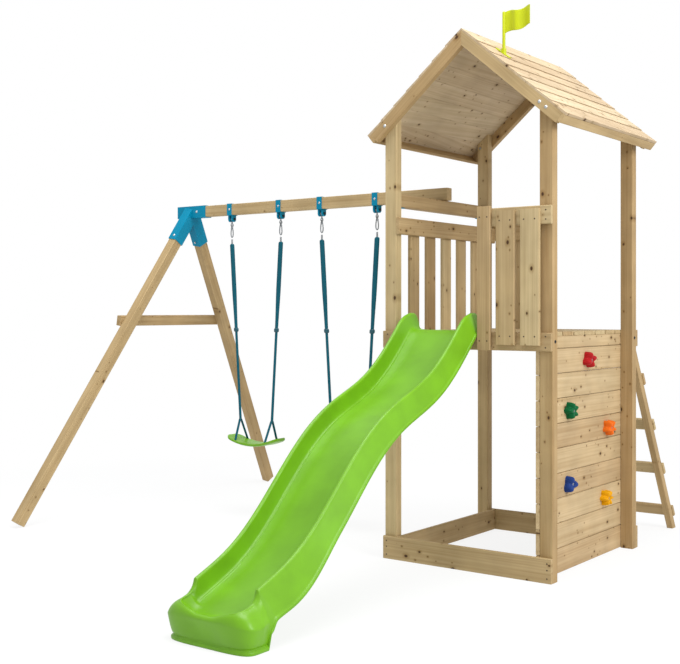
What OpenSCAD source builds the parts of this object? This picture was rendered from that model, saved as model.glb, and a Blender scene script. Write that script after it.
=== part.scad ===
// Wooden climbing frame: a roofed tower with a wavy slide, a climbing wall and a ladder,
// and a beam on an A-frame that carries two swings. Millimetres, +Z up, the slide runs towards -Y.
// Sizes are laid out from the tower: X = 0 is its middle, Y = 0 the front faces of its front posts.
// The finished part is shifted so that its origin is under the middle of its own box.

/* [Tower] */
// Width over the corner posts
tower_w = 970; // [900:10:1200]
// Depth over the corner posts
tower_d = 1030; // [900:10:1200]
// Height of the deck's top face
deck_h = 1200; // [1100:10:1400]
// Wide side of the posts, the swing beam and the rail under it
stock_w = 70; // [60:1:90]
// Narrow side of the posts, the swing beam and the rail under it
stock_t = 52; // [40:1:60]
// Thickness of all boards
board_t = 20; // [16:1:25]
// Chamfer on the long edges of the timber
edge_ease = 3; // [1:0.5:5]
// Height of the boards round the base
base_board_h = 120; // [90:5:150]
// Height of the fascia boards at the deck
fascia_h = 90; // [80:5:120]

/* [Deck] */
// Number of deck boards
deck_board_n = 8; // [6:1:10]
// Gap between two deck boards
deck_gap = 10; // [4:1:15]
// Depth of the joists
joist_h = 70; // [60:5:90]

/* [Panels and rails] */
// Height of the rails' top edges above the deck
rail_rise = 611; // [560:1:650]
// How far the left rail lies below the panels' rails
left_rail_drop = 14; // [0:1:30]
// Height of the rails
rail_h = 90; // [70:5:110]
// Width of a panel board
panel_board_w = 103; // [80:1:110]
// Width of the panel board at the doorway
panel_edge_w = 75; // [60:1:100]
// How far the board at the doorway stands above the rail
panel_edge_rise = 10; // [0:1:20]
// Gap between two panel boards
panel_gap = 30; // [20:1:40]
// Boards in the front panel and in the back panel
panel_board_n = 3; // [2:1:3]
// Left edge of the front panel, from the middle of the tower
front_panel_x = 91; // [91:1:100]
// Gap between the back left post and the first board of the back panel
back_panel_gap = 10; // [5:1:40]
// How far the panel boards stop short of the rail's top
panel_top_reveal = 15; // [5:1:30]
// How far the panel boards stop short of the fascia's bottom
panel_foot_reveal = 28; // [5:1:40]
// Width of a baluster
baluster_w = 88; // [80:1:110]
// Number of balusters in the left wall
baluster_n = 5; // [3:1:5]
// Gap between a left post and the baluster next to it
baluster_gap = 88; // [60:1:110]

/* [Climbing wall] */
// Full boards in the climbing wall
wall_board_n = 9; // [7:1:9]
// Height of the narrow board at the top of the wall
wall_top_h = 61; // [40:1:90]
// Gap between two wall boards
wall_gap = 2; // [1:0.5:4]
// Gap between the wall and the ground
wall_foot_gap = 3; // [0:1:50]
// Radius of a climbing hold
hold_r = 38; // [32:1:48]
// How far a climbing hold stands out
hold_depth = 29; // [24:1:40]

/* [Ladder] */
// Angle between the ladder and the ground
ladder_angle = 60.4; // [56:0.1:68]
// Width over the ladder's stiles
ladder_w = 470; // [400:5:480]
// Gap between the right stile and the tower's right side
ladder_inset = 35; // [30:1:60]
// Depth of a stile
stile_w = 45; // [40:1:70]
// Thickness of a stile
stile_t = 35; // [28:1:45]
// Width of a rung board
rung_w = 70; // [60:1:90]
// Thickness of a rung board
rung_t = 22; // [18:1:30]
// Height of the lowest rung above the ground
rung_foot = 103; // [80:1:160]
// Distance of the highest rung below the deck
rung_head = 287; // [220:1:320]
// Number of rungs
rung_n = 4; // [3:1:4]
// How far a rung runs past the stiles
rung_overhang = 5; // [0:1:30]

/* [Roof] */
// Height of the eaves above the swing beam's top
eave_headroom = 244; // [200:1:300]
// Angle of the roof slopes
roof_pitch = 40.5; // [35:0.5:45]
// How far the rafters run out past the posts
eave_reach = 67; // [40:1:90]
// How far the roof boards run past the back rafters
back_overhang = 35; // [0:1:60]
// Depth of a rafter
rafter_h = 56; // [40:1:65]
// Thickness of a rafter
rafter_t = 35; // [28:1:45]
// Boards on one slope
roof_board_n = 7; // [5:1:8]
// Thickness of a roof board at its lower edge
roof_board_t = 14; // [12:1:20]
// Thickness of a roof board at its upper edge
roof_board_thin = 9; // [6:0.5:10]
// Lap of a roof board over the next
roof_lap = 12; // [8:1:18]
// Height of an eave board
eave_h = 45; // [35:1:60]

/* [Slide] */
// Run of the slide from the deck's fascia to the end of its fall
slide_run = 1690; // [1500:10:1900]
// Middle of the slide, from the middle of the tower
slide_x = -135; // [-170:1:-135]
// Half of the slide's width
slide_half = 224; // [200:1:224]
// Half of the distance between the rims' crests at the deck
crest_top = 182; // [170:1:195]
// Half of the distance between the rims' crests at the foot
crest_foot = 163; // [150:1:180]
// Half of the flat bed's width
bed_half = 90; // [80:1:100]
// Height of the rims above the bed
rim_h = 87; // [70:1:120]
// Radius of the rolled rim
rim_r = 11; // [6:0.5:14]
// How far the side walls reach below the bed
skirt = 18; // [14:1:30]
// Thickness of the bed
bed_t = 10; // [6:0.5:14]
// How far the lip runs on past the end of the fall
lip_reach = 34; // [0:1:60]
// How far the lip stands out past the slide's sides
lip_flare = 16; // [0:1:25]
// Height of the lip over the ground
lip_h = 114; // [100:1:160]
// Depth of the boxed foot
foot_d = 127; // [110:1:150]
// Share of the fall that comes and goes in waves
wave_share = 0.44; // [0:0.05:0.7]
// Length of one wave
wave_len = 1000; // [800:1:1100]
// Where the slide is steepest for the first time
steep_at = 45; // [20:1:120]
// Thickness of the tongue that lies on the deck
tongue_t = 7; // [5:0.5:10]
// How far the tongue lies on the deck behind the fascia
deck_lap = 55; // [30:1:56]
// How far the foot's wall lies behind its lip
foot_inset = 12; // [6:1:20]
// Height of the flange round the foot
foot_flange_h = 14; // [8:1:20]

/* [Swing arm] */
// From the tower's left side to the top of the A-frame
arm_reach = 1920; // [1800:5:2200]
// Gap between the panels' rails and the beam's underside
beam_clear = 114; // [80:1:140]
// How far the beam runs in past its rail
beam_overhang = 22; // [10:1:60]
// How far the beam runs out past the top of the A-frame
beam_tail = 95; // [60:1:120]
// Wide side of the A-frame's legs
leg_w = 70; // [60:1:90]
// Narrow side of the A-frame's legs
leg_t = 58; // [45:1:70]
// Spread of each leg from the plumb line
splay = 30.6; // [26:0.1:34]
// Outward lean of the A-frame
lean = 9.3; // [4:0.1:12]
// Distance of the cross brace from the top, along the A-frame
brace_drop = 735; // [600:5:900]
// Height of the cross brace
brace_h = 65; // [50:1:80]
// Thickness of the cross brace
brace_t = 35; // [28:1:45]
// How far the brace's ends run past the middle of the legs
brace_overhang = 60; // [45:1:90]
// Wall of the steel connector
steel_t = 4; // [3:0.5:6]
// Length of the connector's sleeve on the beam
sleeve_len = 252; // [220:1:300]
// Length of the connector's sockets on the legs
socket_len = 235; // [200:1:280]

/* [Swings] */
// From the tower's left side to the middle of the nearer swing
swing_first = 615; // [560:5:680]
// Distance between the swings
swing_pitch = 735; // [660:5:780]
// Distance between the two pivots of a swing
pivot_gap = 410; // [380:5:440]
// Distance of the pivot pins below the beam
pivot_drop = 27; // [24:1:32]
// Radius of a pivot pin
pin_r = 5; // [4:0.5:6]
// Clearance round a pivot pin
pin_clear = 0.05; // [0.02:0.01:0.1]
// Width of a beam bracket
bracket_w = 38; // [34:1:44]
// Length of a snap hook
hook_len = 76; // [60:1:90]
// Height of the seat's lowest point over the ground
seat_h = 462; // [400:5:520]
// Length of the seat
seat_len = 405; // [320:5:440]
// Width of the seat
seat_w = 145; // [130:1:180]
// Thickness of the seat
seat_t = 14; // [10:1:18]
// Sag of the seat between its ends
seat_sag = 44; // [20:1:60]
// Height of the strap adjusters above the seat
adjuster_rise = 721; // [600:1:800]
// Height of the strap joiners above the seat
joiner_rise = 143; // [100:1:200]
// Distance between the straps at the seat
strap_gap = 250; // [200:5:280]
// Distance between the two strands at one end of the seat
strand_gap = 124; // [100:2:124]

/* [Fasteners] */
// Radius of the frame bolts
bolt_r = 4; // [3:0.5:5]
// Radius of their heads
bolt_head_r = 9; // [7:0.5:11]
// Clearance round a bolt
bolt_clear = 0.2; // [0.1:0.05:0.5]

/* [Flag] */
// Distance of the flag from the roof's front edge
flag_y = 185; // [150:5:600]
// Length of the flag
flag_len = 150; // [120:5:220]
// Height of the flag
flag_h = 108; // [80:5:150]
// Radius of the flag pole
flag_pole_r = 8; // [6:0.5:10]
// Height of the pole above its base
flag_pole_h = 206; // [150:1:240]

/* [Hidden] */
$fn = 32;
pine = "burlywood";
moulded_green = "yellowgreen";
powder_coat = "deepskyblue";
zinc = "silver";

half_w = tower_w / 2;
post_in = half_w - stock_w;
deck_under = deck_h - board_t;
joist_z = deck_under - joist_h;
fascia_z = deck_h - fascia_h;
rail_z = deck_h + rail_rise - rail_h;
left_rail_z = rail_z - left_rail_drop;
mid_d = tower_d / 2;

wall_pitch = (deck_under - wall_top_h - wall_foot_gap) / wall_board_n;
beam_rise = rail_rise + beam_clear;
eave_fall = (half_w + eave_reach) * tan(roof_pitch);
apex_z = deck_h + beam_rise + stock_w + eave_headroom + eave_fall;
slope_len = (half_w + eave_reach) / cos(roof_pitch);
roof_step = slope_len / roof_board_n;
roof_y = [-rafter_t, tower_d + rafter_t + back_overhang];

beam_z = deck_h + beam_rise;
frame_x = -half_w - arm_reach;
frame_z = beam_z + stock_w / 2;
pivot_z = beam_z - pivot_drop;
swing_x = [-half_w - swing_first - swing_pitch, -half_w - swing_first];
pivot_x = [for (s = swing_x) for (side = [-1, 1]) s + side * pivot_gap / 2];

ladder_y = tower_d + board_t;
stile_x = [half_w - ladder_inset - ladder_w, half_w - ladder_inset - stile_t];
ladder_foot_y = ladder_y + deck_h / tan(ladder_angle);

// The legs are bars turned by the splay and then by the lean about the top of the A-frame.
function leg_along(side) = [-cos(splay) * sin(lean), side * sin(splay), -cos(splay) * cos(lean)];
function leg_across(side) = [side * sin(splay) * sin(lean), cos(splay), side * sin(splay) * cos(lean)];
function foot_corner(side, i, j) =
    let (p = [frame_x, mid_d, frame_z] + i * leg_t / 2 * [cos(lean), 0, -sin(lean)]
             + j * leg_w / 2 * leg_across(side))
    p - p[2] / leg_along(side)[2] * leg_along(side);
foot_corners = [for (side = [-1, 1]) for (i = [-1, 1]) for (j = [-1, 1]) foot_corner(side, i, j)];

x_min = min([for (c = foot_corners) c[0]]);
x_max = (slope_len + board_t) * cos(roof_pitch) + roof_board_t * sin(roof_pitch);
lip_end = slide_run + lip_reach;
y_min = -board_t - lip_end;
y_max = max(ladder_foot_y, max([for (c = foot_corners) c[1]]));

rafter_bolts_right = [16, 50];
rafter_bolts_left = [50];
deck_bolt_z = deck_under - joist_h / 3;
sleeve_bolt_reach = 75;
sleeve_bolt_x = frame_x + sleeve_bolt_reach;
socket_bolt_inset = 30;
socket_bolt_t = socket_len - socket_bolt_inset;
socket_rise = stock_w / 4;
leg_top = 72;

holds = [["red", 0.52, 8, 3, 20], ["green", 0.31, 6, 4, 50], ["orange", 0.76, 5, 5, 0],
         ["blue", 0.3, 3, 3, 200], ["yellow", 0.73, 2, 5, 36]];

link_r = 10;
wire_r = 3.5;
link_play = 0.4;
eye_drop = 38;
hook_w = 22;
link_reach = link_r - 2 * wire_r - link_play;
hook_top = pivot_z - eye_drop - link_reach;
hook_bottom = hook_top - hook_len;
link_z = hook_bottom - link_reach;
strap_top = link_z - 40;
adjuster_z = seat_h + adjuster_rise;
adjuster_size = [26, 16, 30];
joiner_z = seat_h + joiner_rise;
joiner_size = [18, 24, 16];
buckle_corner = 5;
strand_split = 6;
seat_boss_z = seat_h + 34;
seat_boss_r = 10;
upper_strap = [26, 12];
lower_strap = [16, 10];
strand = [16, 8];
touch = 0.2;

// Shift from the tower's own axes to the middle of the part's box
module in_place() {
    translate([-(x_min + x_max) / 2, -(y_min + y_max) / 2, 0]) children();
}

module eased_rect(a, b) {
    c = edge_ease;
    polygon([[c, 0], [a - c, 0], [a, c], [a, b - c], [a - c, b], [c, b], [0, b - c], [0, c]]);
}

// Sawn timber between two corners, eased along its longest side
module timber(x, y, z) {
    size = [x[1] - x[0], y[1] - y[0], z[1] - z[0]];
    longest = max(size);
    translate([x[0], y[0], z[0]]) {
        if (size[2] == longest)
            linear_extrude(size[2]) eased_rect(size[0], size[1]);
        else if (size[0] == longest)
            rotate([90, 0, 90]) linear_extrude(size[0]) eased_rect(size[1], size[2]);
        else
            translate([0, size[1], 0]) rotate([90, 0, 0])
                linear_extrude(size[1]) eased_rect(size[0], size[2]);
    }
}

// Round-headed bolt with its head's seat at the origin, running down -Z to a nut under the grip
module bolt(grip, r = bolt_r, head_r = bolt_head_r) {
    head_h = head_r * 0.55;
    nut_h = r * 1.6;
    translate([0, 0, -grip - nut_h]) cylinder(h = grip + nut_h + head_h / 2, r = r);
    rotate_extrude() intersection() {
        translate([0, head_h - (head_h * head_h + head_r * head_r) / (2 * head_h)])
            circle(r = (head_h * head_h + head_r * head_r) / (2 * head_h), $fn = 96);
        square([head_r, head_h]);
    }
    translate([0, 0, -grip - nut_h]) cylinder(h = nut_h, r = r * 1.9, $fn = 6);
}

module bolt_hole(grip, r = bolt_r) {
    translate([0, 0, -grip - 1]) cylinder(h = grip + 2, r = r + bolt_clear);
}

// Places of the bolts

module at_rafter_bolts(front, right) {
    offsets = right ? rafter_bolts_right : rafter_bolts_left;
    for (d = offsets) {
        s = (post_in + d + rafter_h / 2 * sin(roof_pitch)) / cos(roof_pitch);
        z = apex_z - s * sin(roof_pitch) - rafter_h / 2 * cos(roof_pitch);
        x = (right ? 1 : -1) * (post_in + d);
        translate([x, front ? -rafter_t : tower_d + rafter_t, z]) rotate([front ? 90 : -90, 0, 0]) children();
    }
}

module at_deck_bolt(front, right) {
    translate([(right ? 1 : -1) * half_w, front ? stock_t / 2 : tower_d - stock_t / 2, deck_bolt_z])
        rotate([0, right ? 90 : -90, 0]) children();
}

deck_bolt_grip_left = stock_w + stock_t;
deck_bolt_grip_right = deck_bolt_grip_left + board_t;
rafter_bolt_grip = rafter_t + stock_t;

// Corner posts, cut at the top along the roof boards

module post(front, right) {
    side = right ? 1 : -1;
    y = front ? 0 : tower_d - stock_t;
    difference() {
        intersection() {
            timber(right ? [post_in, half_w] : [-half_w, -post_in], [y, y + stock_t], [0, apex_z]);
            translate([0, y - 1, 0]) mirror([right ? 0 : 1, 0, 0]) rotate([-90, 0, 0]) mirror([0, 1, 0])
                linear_extrude(stock_t + 2)
                    polygon([[0, -1], [half_w + 1, -1], [half_w + 1, apex_z - (half_w + 1) * tan(roof_pitch)],
                             [0, apex_z]]);
        }
        at_rafter_bolts(front, right) bolt_hole(rafter_bolt_grip);
        at_deck_bolt(front, right) bolt_hole(stock_w);
    }
}

module post_front_left() { color(pine) in_place() post(true, false); }
module post_front_right() { color(pine) in_place() post(true, true); }
module post_back_left() { color(pine) in_place() post(false, false); }
module post_back_right() { color(pine) in_place() post(false, true); }

// Boards round the base

module base_board_front() {
    color(pine) in_place() timber([-half_w, half_w], [-board_t, 0], [0, base_board_h]);
}

module base_board_back() {
    color(pine) in_place() timber([-half_w, half_w], [tower_d, tower_d + board_t], [0, base_board_h]);
}

module base_board_left() {
    color(pine) in_place() timber([-post_in, board_t - post_in], [0, tower_d], [0, base_board_h]);
}

// Deck

module deck_fascia_front() {
    color(pine) in_place() timber([-half_w, half_w], [-board_t, 0], [fascia_z, deck_h]);
}

module deck_fascia_back() {
    color(pine) in_place() timber([-half_w, half_w], [tower_d, tower_d + board_t], [fascia_z, deck_h]);
}

module deck_joists() {
    right_joist = post_in - board_t;
    color(pine) in_place() difference() {
        for (x = [-post_in, -stock_t / 2, right_joist - stock_t])
            timber([x, x + stock_t], [0, tower_d], [joist_z, deck_under]);
        for (front = [true, false]) {
            at_deck_bolt(front, true) bolt_hole(deck_bolt_grip_right);
            at_deck_bolt(front, false) bolt_hole(deck_bolt_grip_left);
        }
    }
}

module deck_boards() {
    pitch = (tower_d + deck_gap) / deck_board_n;
    color(pine) in_place() for (i = [0:deck_board_n - 1])
        timber([-post_in, post_in], [i * pitch, (i + 1) * pitch - deck_gap], [deck_under, deck_h]);
}

// Rails, balusters and panels above the deck

module left_top_rail() {
    color(pine) in_place()
        timber([-post_in, board_t - post_in], [0, tower_d], [left_rail_z, left_rail_z + rail_h]);
}

module left_balusters() {
    first = stock_t + baluster_gap;
    pitch = (tower_d - 2 * first - baluster_w) / (baluster_n - 1);
    reveal = 10;
    color(pine) in_place() for (i = [0:baluster_n - 1]) {
        y = first + i * pitch;
        timber([-post_in - board_t, -post_in], [y, y + baluster_w],
               [joist_z + reveal, left_rail_z + rail_h - reveal]);
    }
}

module panel_rail(x, y) {
    timber(x, [y, y + board_t], [rail_z, rail_z + rail_h]);
}

// The board at the doorway is narrower than the others and longer
module panel_boards(x, y, edge_first) {
    for (i = [0:panel_board_n - 1]) {
        edge = i == (edge_first ? 0 : panel_board_n - 1);
        x0 = x + i * (panel_board_w + panel_gap) - (edge_first && !edge ? panel_board_w - panel_edge_w : 0);
        timber([x0, x0 + (edge ? panel_edge_w : panel_board_w)], [y, y + board_t],
               [fascia_z + (edge ? 0 : panel_foot_reveal),
                rail_z + rail_h + (edge ? panel_edge_rise : -panel_top_reveal)]);
    }
}

back_panel_x = back_panel_gap - post_in;
back_panel_end = back_panel_x + (panel_board_n - 1) * (panel_board_w + panel_gap) + panel_edge_w;

module front_panel_rail() { color(pine) in_place() panel_rail([front_panel_x, half_w], -board_t); }
module front_panel_boards() { color(pine) in_place() panel_boards(front_panel_x, -2 * board_t, true); }
module back_panel_rail() { color(pine) in_place() panel_rail([-half_w, back_panel_end], tower_d); }

module back_panel_boards() {
    color(pine) in_place() panel_boards(back_panel_x, tower_d + board_t, false);
}

// Climbing wall

module climbing_wall_boards() {
    top = wall_foot_gap + wall_board_n * wall_pitch;
    color(pine) in_place() difference() {
        union() {
            for (i = [0:wall_board_n - 1]) {
                z = wall_foot_gap + i * wall_pitch;
                timber([post_in - board_t, post_in], [0, tower_d], [z, z + wall_pitch - wall_gap]);
            }
            timber([post_in - board_t, post_in], [0, tower_d], [top, deck_under]);
        }
        for (h = holds) at_hold(h) bolt_hole(board_t);
        for (front = [true, false]) at_deck_bolt(front, true) bolt_hole(deck_bolt_grip_right);
    }
}

// A hold lies on the wall's outer face at a share of its width, on a board counted from the ground
module at_hold(h) {
    translate([post_in, h[1] * tower_d, wall_foot_gap + (h[2] + 0.5) * wall_pitch - wall_gap / 2])
        rotate([0, 90, 0]) children();
}

hold_fullness = 0.5;
lobe_share = 0.2;
lean_share = 0.08;

// Moulded hold: rings that rise from a lobed outline to a small flat seat for the bolt's head
function hold_ring(lobes, turn, t) =
    let (swell = pow(cos(90 * t), hold_fullness), seat = bolt_head_r + 3)
    [for (i = [0:27])
        let (a = i * 360 / 28, lobe = 1 + lobe_share * cos(lobes * (a - turn)) - lean_share * cos(a - turn),
             r = seat + (hold_r * lobe - seat) * swell)
        [r * cos(a), r * sin(a), hold_depth * sin(90 * t)]];

module hold(h) {
    levels = 6;
    sides = 28;
    rings = [for (k = [0:levels]) hold_ring(h[3], h[4], k / levels)];
    points = [for (ring = rings) each ring];
    walls = [for (k = [0:levels - 1]) for (i = [0:sides - 1])
        let (a = k * sides + i, b = k * sides + (i + 1) % sides)
        each [[a, a + sides, b], [b, a + sides, b + sides]]];
    caps = [[for (i = [0:sides - 1]) i], [for (i = [sides - 1:-1:0]) levels * sides + i]];
    at_hold(h) difference() {
        polyhedron(points = points, faces = concat(walls, caps), convexity = 6);
        translate([0, 0, hold_depth]) bolt_hole(hold_depth);
    }
}

module hold_red() { color("crimson") in_place() hold(holds[0]); }
module hold_green() { color("seagreen") in_place() hold(holds[1]); }
module hold_orange() { color("darkorange") in_place() hold(holds[2]); }
module hold_blue() { color("royalblue") in_place() hold(holds[3]); }
module hold_yellow() { color("gold") in_place() hold(holds[4]); }

module hold_bolts() {
    color(zinc) in_place() for (h = holds)
        at_hold(h) translate([0, 0, hold_depth]) bolt(hold_depth + board_t);
}

// Ladder

module ladder_stiles() {
    drop = stile_w / cos(ladder_angle);
    run = [deck_h, deck_h - drop] / tan(ladder_angle);
    color(pine) in_place() for (x = stile_x)
        translate([x, ladder_y, 0]) rotate([90, 0, 90]) linear_extrude(stile_t)
            polygon([[0, deck_h], [0, deck_h - drop], [run[1], 0], [run[0], 0]]);
}

module ladder_rungs() {
    pitch = (deck_h - rung_head - rung_foot) / (rung_n - 1);
    color(pine) in_place() for (i = [0:rung_n - 1]) {
        z = rung_foot + i * pitch;
        translate([0, ladder_y + (deck_h - z) / tan(ladder_angle), z]) rotate([90 - ladder_angle, 0, 0])
            timber([stile_x[0] - rung_overhang, stile_x[1] + stile_t + rung_overhang],
                   [0, rung_t], [-rung_w / 2, rung_w / 2]);
    }
}

// Roof. In a slope's own axes X runs down the slope from the apex and Z stands square to it.

module on_slope(right) {
    mirror([right ? 0 : 1, 0, 0]) translate([0, 0, apex_z]) rotate([0, roof_pitch, 0]) children();
}

module slope_bar(y) {
    translate([0, y[1], 0]) rotate([90, 0, 0]) linear_extrude(y[1] - y[0]) children();
}

module rafter(front, right) {
    y = front ? -rafter_t : tower_d;
    difference() {
        on_slope(right) slope_bar([y, y + rafter_t])
            polygon([[0, 0], [slope_len, 0], [slope_len, -rafter_h],
                     [rafter_h * tan(roof_pitch), -rafter_h]]);
        at_rafter_bolts(front, right) bolt_hole(rafter_t);
    }
}

module rafter_front_left() { color(pine) in_place() rafter(true, false); }
module rafter_front_right() { color(pine) in_place() rafter(true, true); }
module rafter_back_left() { color(pine) in_place() rafter(false, false); }
module rafter_back_right() { color(pine) in_place() rafter(false, true); }

// Lapped boards: thick at the lower edge, with a rebate there that covers the next board's thin edge
module roof_boards(right) {
    rebate = roof_board_thin + (roof_board_t - roof_board_thin) * roof_lap / (roof_step + roof_lap) + touch;
    for (i = [0:roof_board_n - 1]) {
        s0 = i * roof_step + (i == 0 ? 0 : touch);
        s1 = (i + 1) * roof_step;
        upper = i == 0 ? [-roof_board_thin * tan(roof_pitch), roof_board_thin] : [s0, roof_board_thin];
        lower = i == roof_board_n - 1
            ? [[s1 + board_t, 0], [s1 + board_t, roof_board_t]]
            : [[s1, 0], [s1, rebate], [s1 + roof_lap, rebate], [s1 + roof_lap, roof_board_t]];
        on_slope(right) slope_bar(roof_y) polygon(concat([[s0, 0]], lower, [upper]));
    }
}

module roof_boards_left() { color(pine) in_place() roof_boards(false); }
module roof_boards_right() { color(pine) in_place() roof_boards(true); }

module eave_board(right) {
    on_slope(right) timber([slope_len, slope_len + board_t], roof_y, [-eave_h, 0]);
}

module eave_board_left() { color(pine) in_place() eave_board(false); }
module eave_board_right() { color(pine) in_place() eave_board(true); }

module rafter_bolts() {
    color(zinc) in_place() for (front = [true, false]) for (right = [true, false])
        at_rafter_bolts(front, right) bolt(rafter_bolt_grip);
}

module deck_bolts() {
    color("dimgray") in_place() for (front = [true, false]) {
        at_deck_bolt(front, true) bolt(deck_bolt_grip_right);
        at_deck_bolt(front, false) bolt(deck_bolt_grip_left);
    }
}

// Flag: its base lies on the second board of the right slope and holds the pole upright

flag_plate = [90, 34, 5];
flag_plate_gap = 8;
flag_board_s = roof_step + touch;
flag_slope_s = flag_board_s + roof_lap + flag_plate_gap + flag_plate[0] / 2;
flag_x = flag_slope_s * cos(roof_pitch) + (roof_board_t + flag_plate[2]) * sin(roof_pitch);
flag_z = apex_z - flag_slope_s * sin(roof_pitch) + (roof_board_t + flag_plate[2]) * cos(roof_pitch);
flag_cup_h = 34;
flag_cup_wall = 5;
flag_cup_sink = 16;
flag_seat = 0.05;
board_reach = roof_step + roof_lap - touch;
board_tilt = atan((roof_board_t - roof_board_thin) / board_reach);

module flag_base() {
    y = roof_y[0] + flag_y;
    foot_n = roof_board_thin + flag_seat;
    color("greenyellow") in_place() difference() {
        union() {
            on_slope(true) translate([flag_board_s, y - flag_plate[1] / 2, foot_n])
                rotate([0, -board_tilt, 0]) translate([roof_lap + flag_plate_gap, 0, -flag_plate[2]])
                    cube([flag_plate[0], flag_plate[1], 2 * flag_plate[2]]);
            translate([flag_x, y, flag_z - flag_cup_sink])
                cylinder(h = flag_cup_h, r = flag_pole_r + flag_cup_wall);
        }
        translate([flag_x, y, flag_z]) cylinder(h = flag_cup_h, r = flag_pole_r + touch);
        on_slope(true) slope_bar([roof_y[0], roof_y[1]])
            polygon([[flag_board_s, -rafter_h], [flag_board_s + board_reach, -rafter_h],
                     [flag_board_s + board_reach, foot_n + tan(board_tilt) * board_reach],
                     [flag_board_s, foot_n]]);
    }
}

flag_t = 4;
flag_wave = 9;
flag_lift = 20;
flag_sway = 6;

// The flag is a moulded sheet with two waves along its length, in one piece with its pole
module flag() {
    steps = 24;
    function wave(i) = flag_wave * sin(i * 600 / steps) * min(1, 3 * i / steps);
    function lift(i) = flag_lift * i / steps + flag_sway * sin(i * 500 / steps);
    x0 = flag_pole_r * 0.5;
    dx = (flag_len - x0) / steps;
    points = [for (i = [0:steps]) each [
        [x0 + i * dx, wave(i) - flag_t / 2, lift(i)], [x0 + i * dx, wave(i) + flag_t / 2, lift(i)],
        [x0 + i * dx, wave(i) + flag_t / 2, lift(i) + flag_h],
        [x0 + i * dx, wave(i) - flag_t / 2, lift(i) + flag_h]]];
    walls = [for (i = [0:steps - 1]) for (k = [0:3])
        let (a = 4 * i + k, b = 4 * i + (k + 1) % 4) each [[a, a + 4, b], [b, a + 4, b + 4]]];
    caps = [[0, 1, 2, 3], [for (k = [3:-1:0]) 4 * steps + k]];
    color("greenyellow") in_place() translate([flag_x, roof_y[0] + flag_y, flag_z]) {
        cylinder(h = flag_pole_h, r = flag_pole_r);
        translate([0, 0, flag_pole_h - flag_h - flag_sway])
            polyhedron(points = points, faces = concat(walls, caps), convexity = 6);
    }
}

// Slide. The bed lies on the deck's edge and then falls to the lip, its slope coming and going in waves.
// Distances along the slide are counted from the fascia's face, and those over the deck are below zero.

slide_top = deck_h + tongue_t;
sum_step = 5;
entry_len = 48;
entry_share = 0.4;
exit_len = 69;
bead_in = 42;
bead_n = 31;
bead_w = 8;
rail_w = 28;
nose_len = 80;
nose_draw = 0.2;
flare_len = 110;
rim_end = 104;
rim_drop = 0.66;
lip_shoulder = 46;
ear_len = 45;
skirt_start = 0.5;
end_zone = 150;

function smooth(t) = let (c = min(max(t, 0), 1)) c * c * (3 - 2 * c);
function fall(y) = (1 + wave_share * cos(360 * (y - steep_at) / wave_len))
    * (entry_share + (1 - entry_share) * smooth(y / entry_len)) * smooth((slide_run - y) / exit_len);
fall_sums = [for (i = 0, sum = 0; i * sum_step <= slide_run;
                  sum = sum + fall((i + 0.5) * sum_step) * sum_step, i = i + 1) [i * sum_step, sum]];
fall_scale = (slide_top - lip_h) / lookup(slide_run, fall_sums);
function bed_z(y) = y <= 0 ? slide_top : slide_top - fall_scale * lookup(y, fall_sums);
function bed_slope(y) = y <= 0 ? 0 : fall_scale * fall(y) * smooth(y / entry_len);

// Half of the slide's width, flared at the lip and drawn in round its front corners
function nose(y) =
    let (t = max(0, (y - lip_end + nose_len) / nose_len))
    (slide_half + lip_flare * smooth((y - lip_end + flare_len) / flare_len)) * (1 - nose_draw * pow(t, 2.6));

// The rims round off over the deck's edge, and at the lip they spread out and sink to its shoulders
function quarter(t) = t >= 1 ? 1 : t <= 0 ? 0 : sqrt(t * (2 - t));
function lip_share(y) = smooth((y - lip_end + rim_end) / rim_end);
function rim_share(y) = quarter((y + board_t + deck_lap) / ear_len) * (1 - rim_drop * lip_share(y));
function crest(y) =
    let (line = crest_top + (crest_foot - crest_top) * max(0, y) / slide_run)
    line + (slide_half - lip_shoulder - line) * lip_share(y);

// Depth below the bed: the tongue's over the deck, and over the foot down to its level top
function depth(y, full) =
    let (m = bed_slope(y))
    y <= 0 ? tongue_t : y > lip_end - foot_d ? (skirt + bed_z(y) - lip_h) * sqrt(1 + m * m) : full;

// Right half of the section, from the middle of the underside round the rim to the middle of the bed.
// The outer wall leans out from the crest, and a bead runs along the foot of the inner wall.
function half_section(y) =
    let (h = rim_share(y), w = nose(y) / slide_half, c = crest(y), b = c - bead_in,
         side = depth(y, skirt), under = depth(y, bed_t), base_in = slide_half - rail_w)
    [for (p = concat(
        [[0, -under], [base_in - 6, -under], [base_in, -side], [slide_half - 3, -side],
         [slide_half, 4 - side], [(slide_half + c + rim_r) / 2, (h * (rim_h - rim_r) + 4 - side) / 2]],
        [for (a = [20, 55, 90, 125, 160]) [c + rim_r * cos(a), h * (rim_h - rim_r + rim_r * sin(a))]],
        [[b + bead_w, h * (bead_n + bead_w)], [b, h * bead_n]],
        [for (a = [-10, -35, -55, -72, -90])
            [bed_half + (b - 2 - bed_half) * cos(a), h * (bead_n - 2) * (1 + sin(a))]],
        [[0, 0]])) [p[0] * w, p[1]]];

function slide_ring(y) =
    let (right = half_section(y), n = len(right), m = bed_slope(y), k = sqrt(1 + m * m),
         section = concat(right, [for (i = [n - 2:-1:1]) [-right[i][0], right[i][1]]]))
    [for (p = section) [slide_x + p[0], -board_t - y - p[1] * m / k, bed_z(y) + p[1] / k]];

// Stations lie close together where the rims round off and where the foot's nose draws in
slide_stations = concat(
    [for (t = [0, 0.06, 0.2, 0.4, 0.7]) (t - 1) * (board_t + deck_lap)], [0, skirt_start],
    [for (y = [18:36:lip_end - end_zone - 20]) y], [for (t = [end_zone:-10:0]) lip_end - t]);

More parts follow.
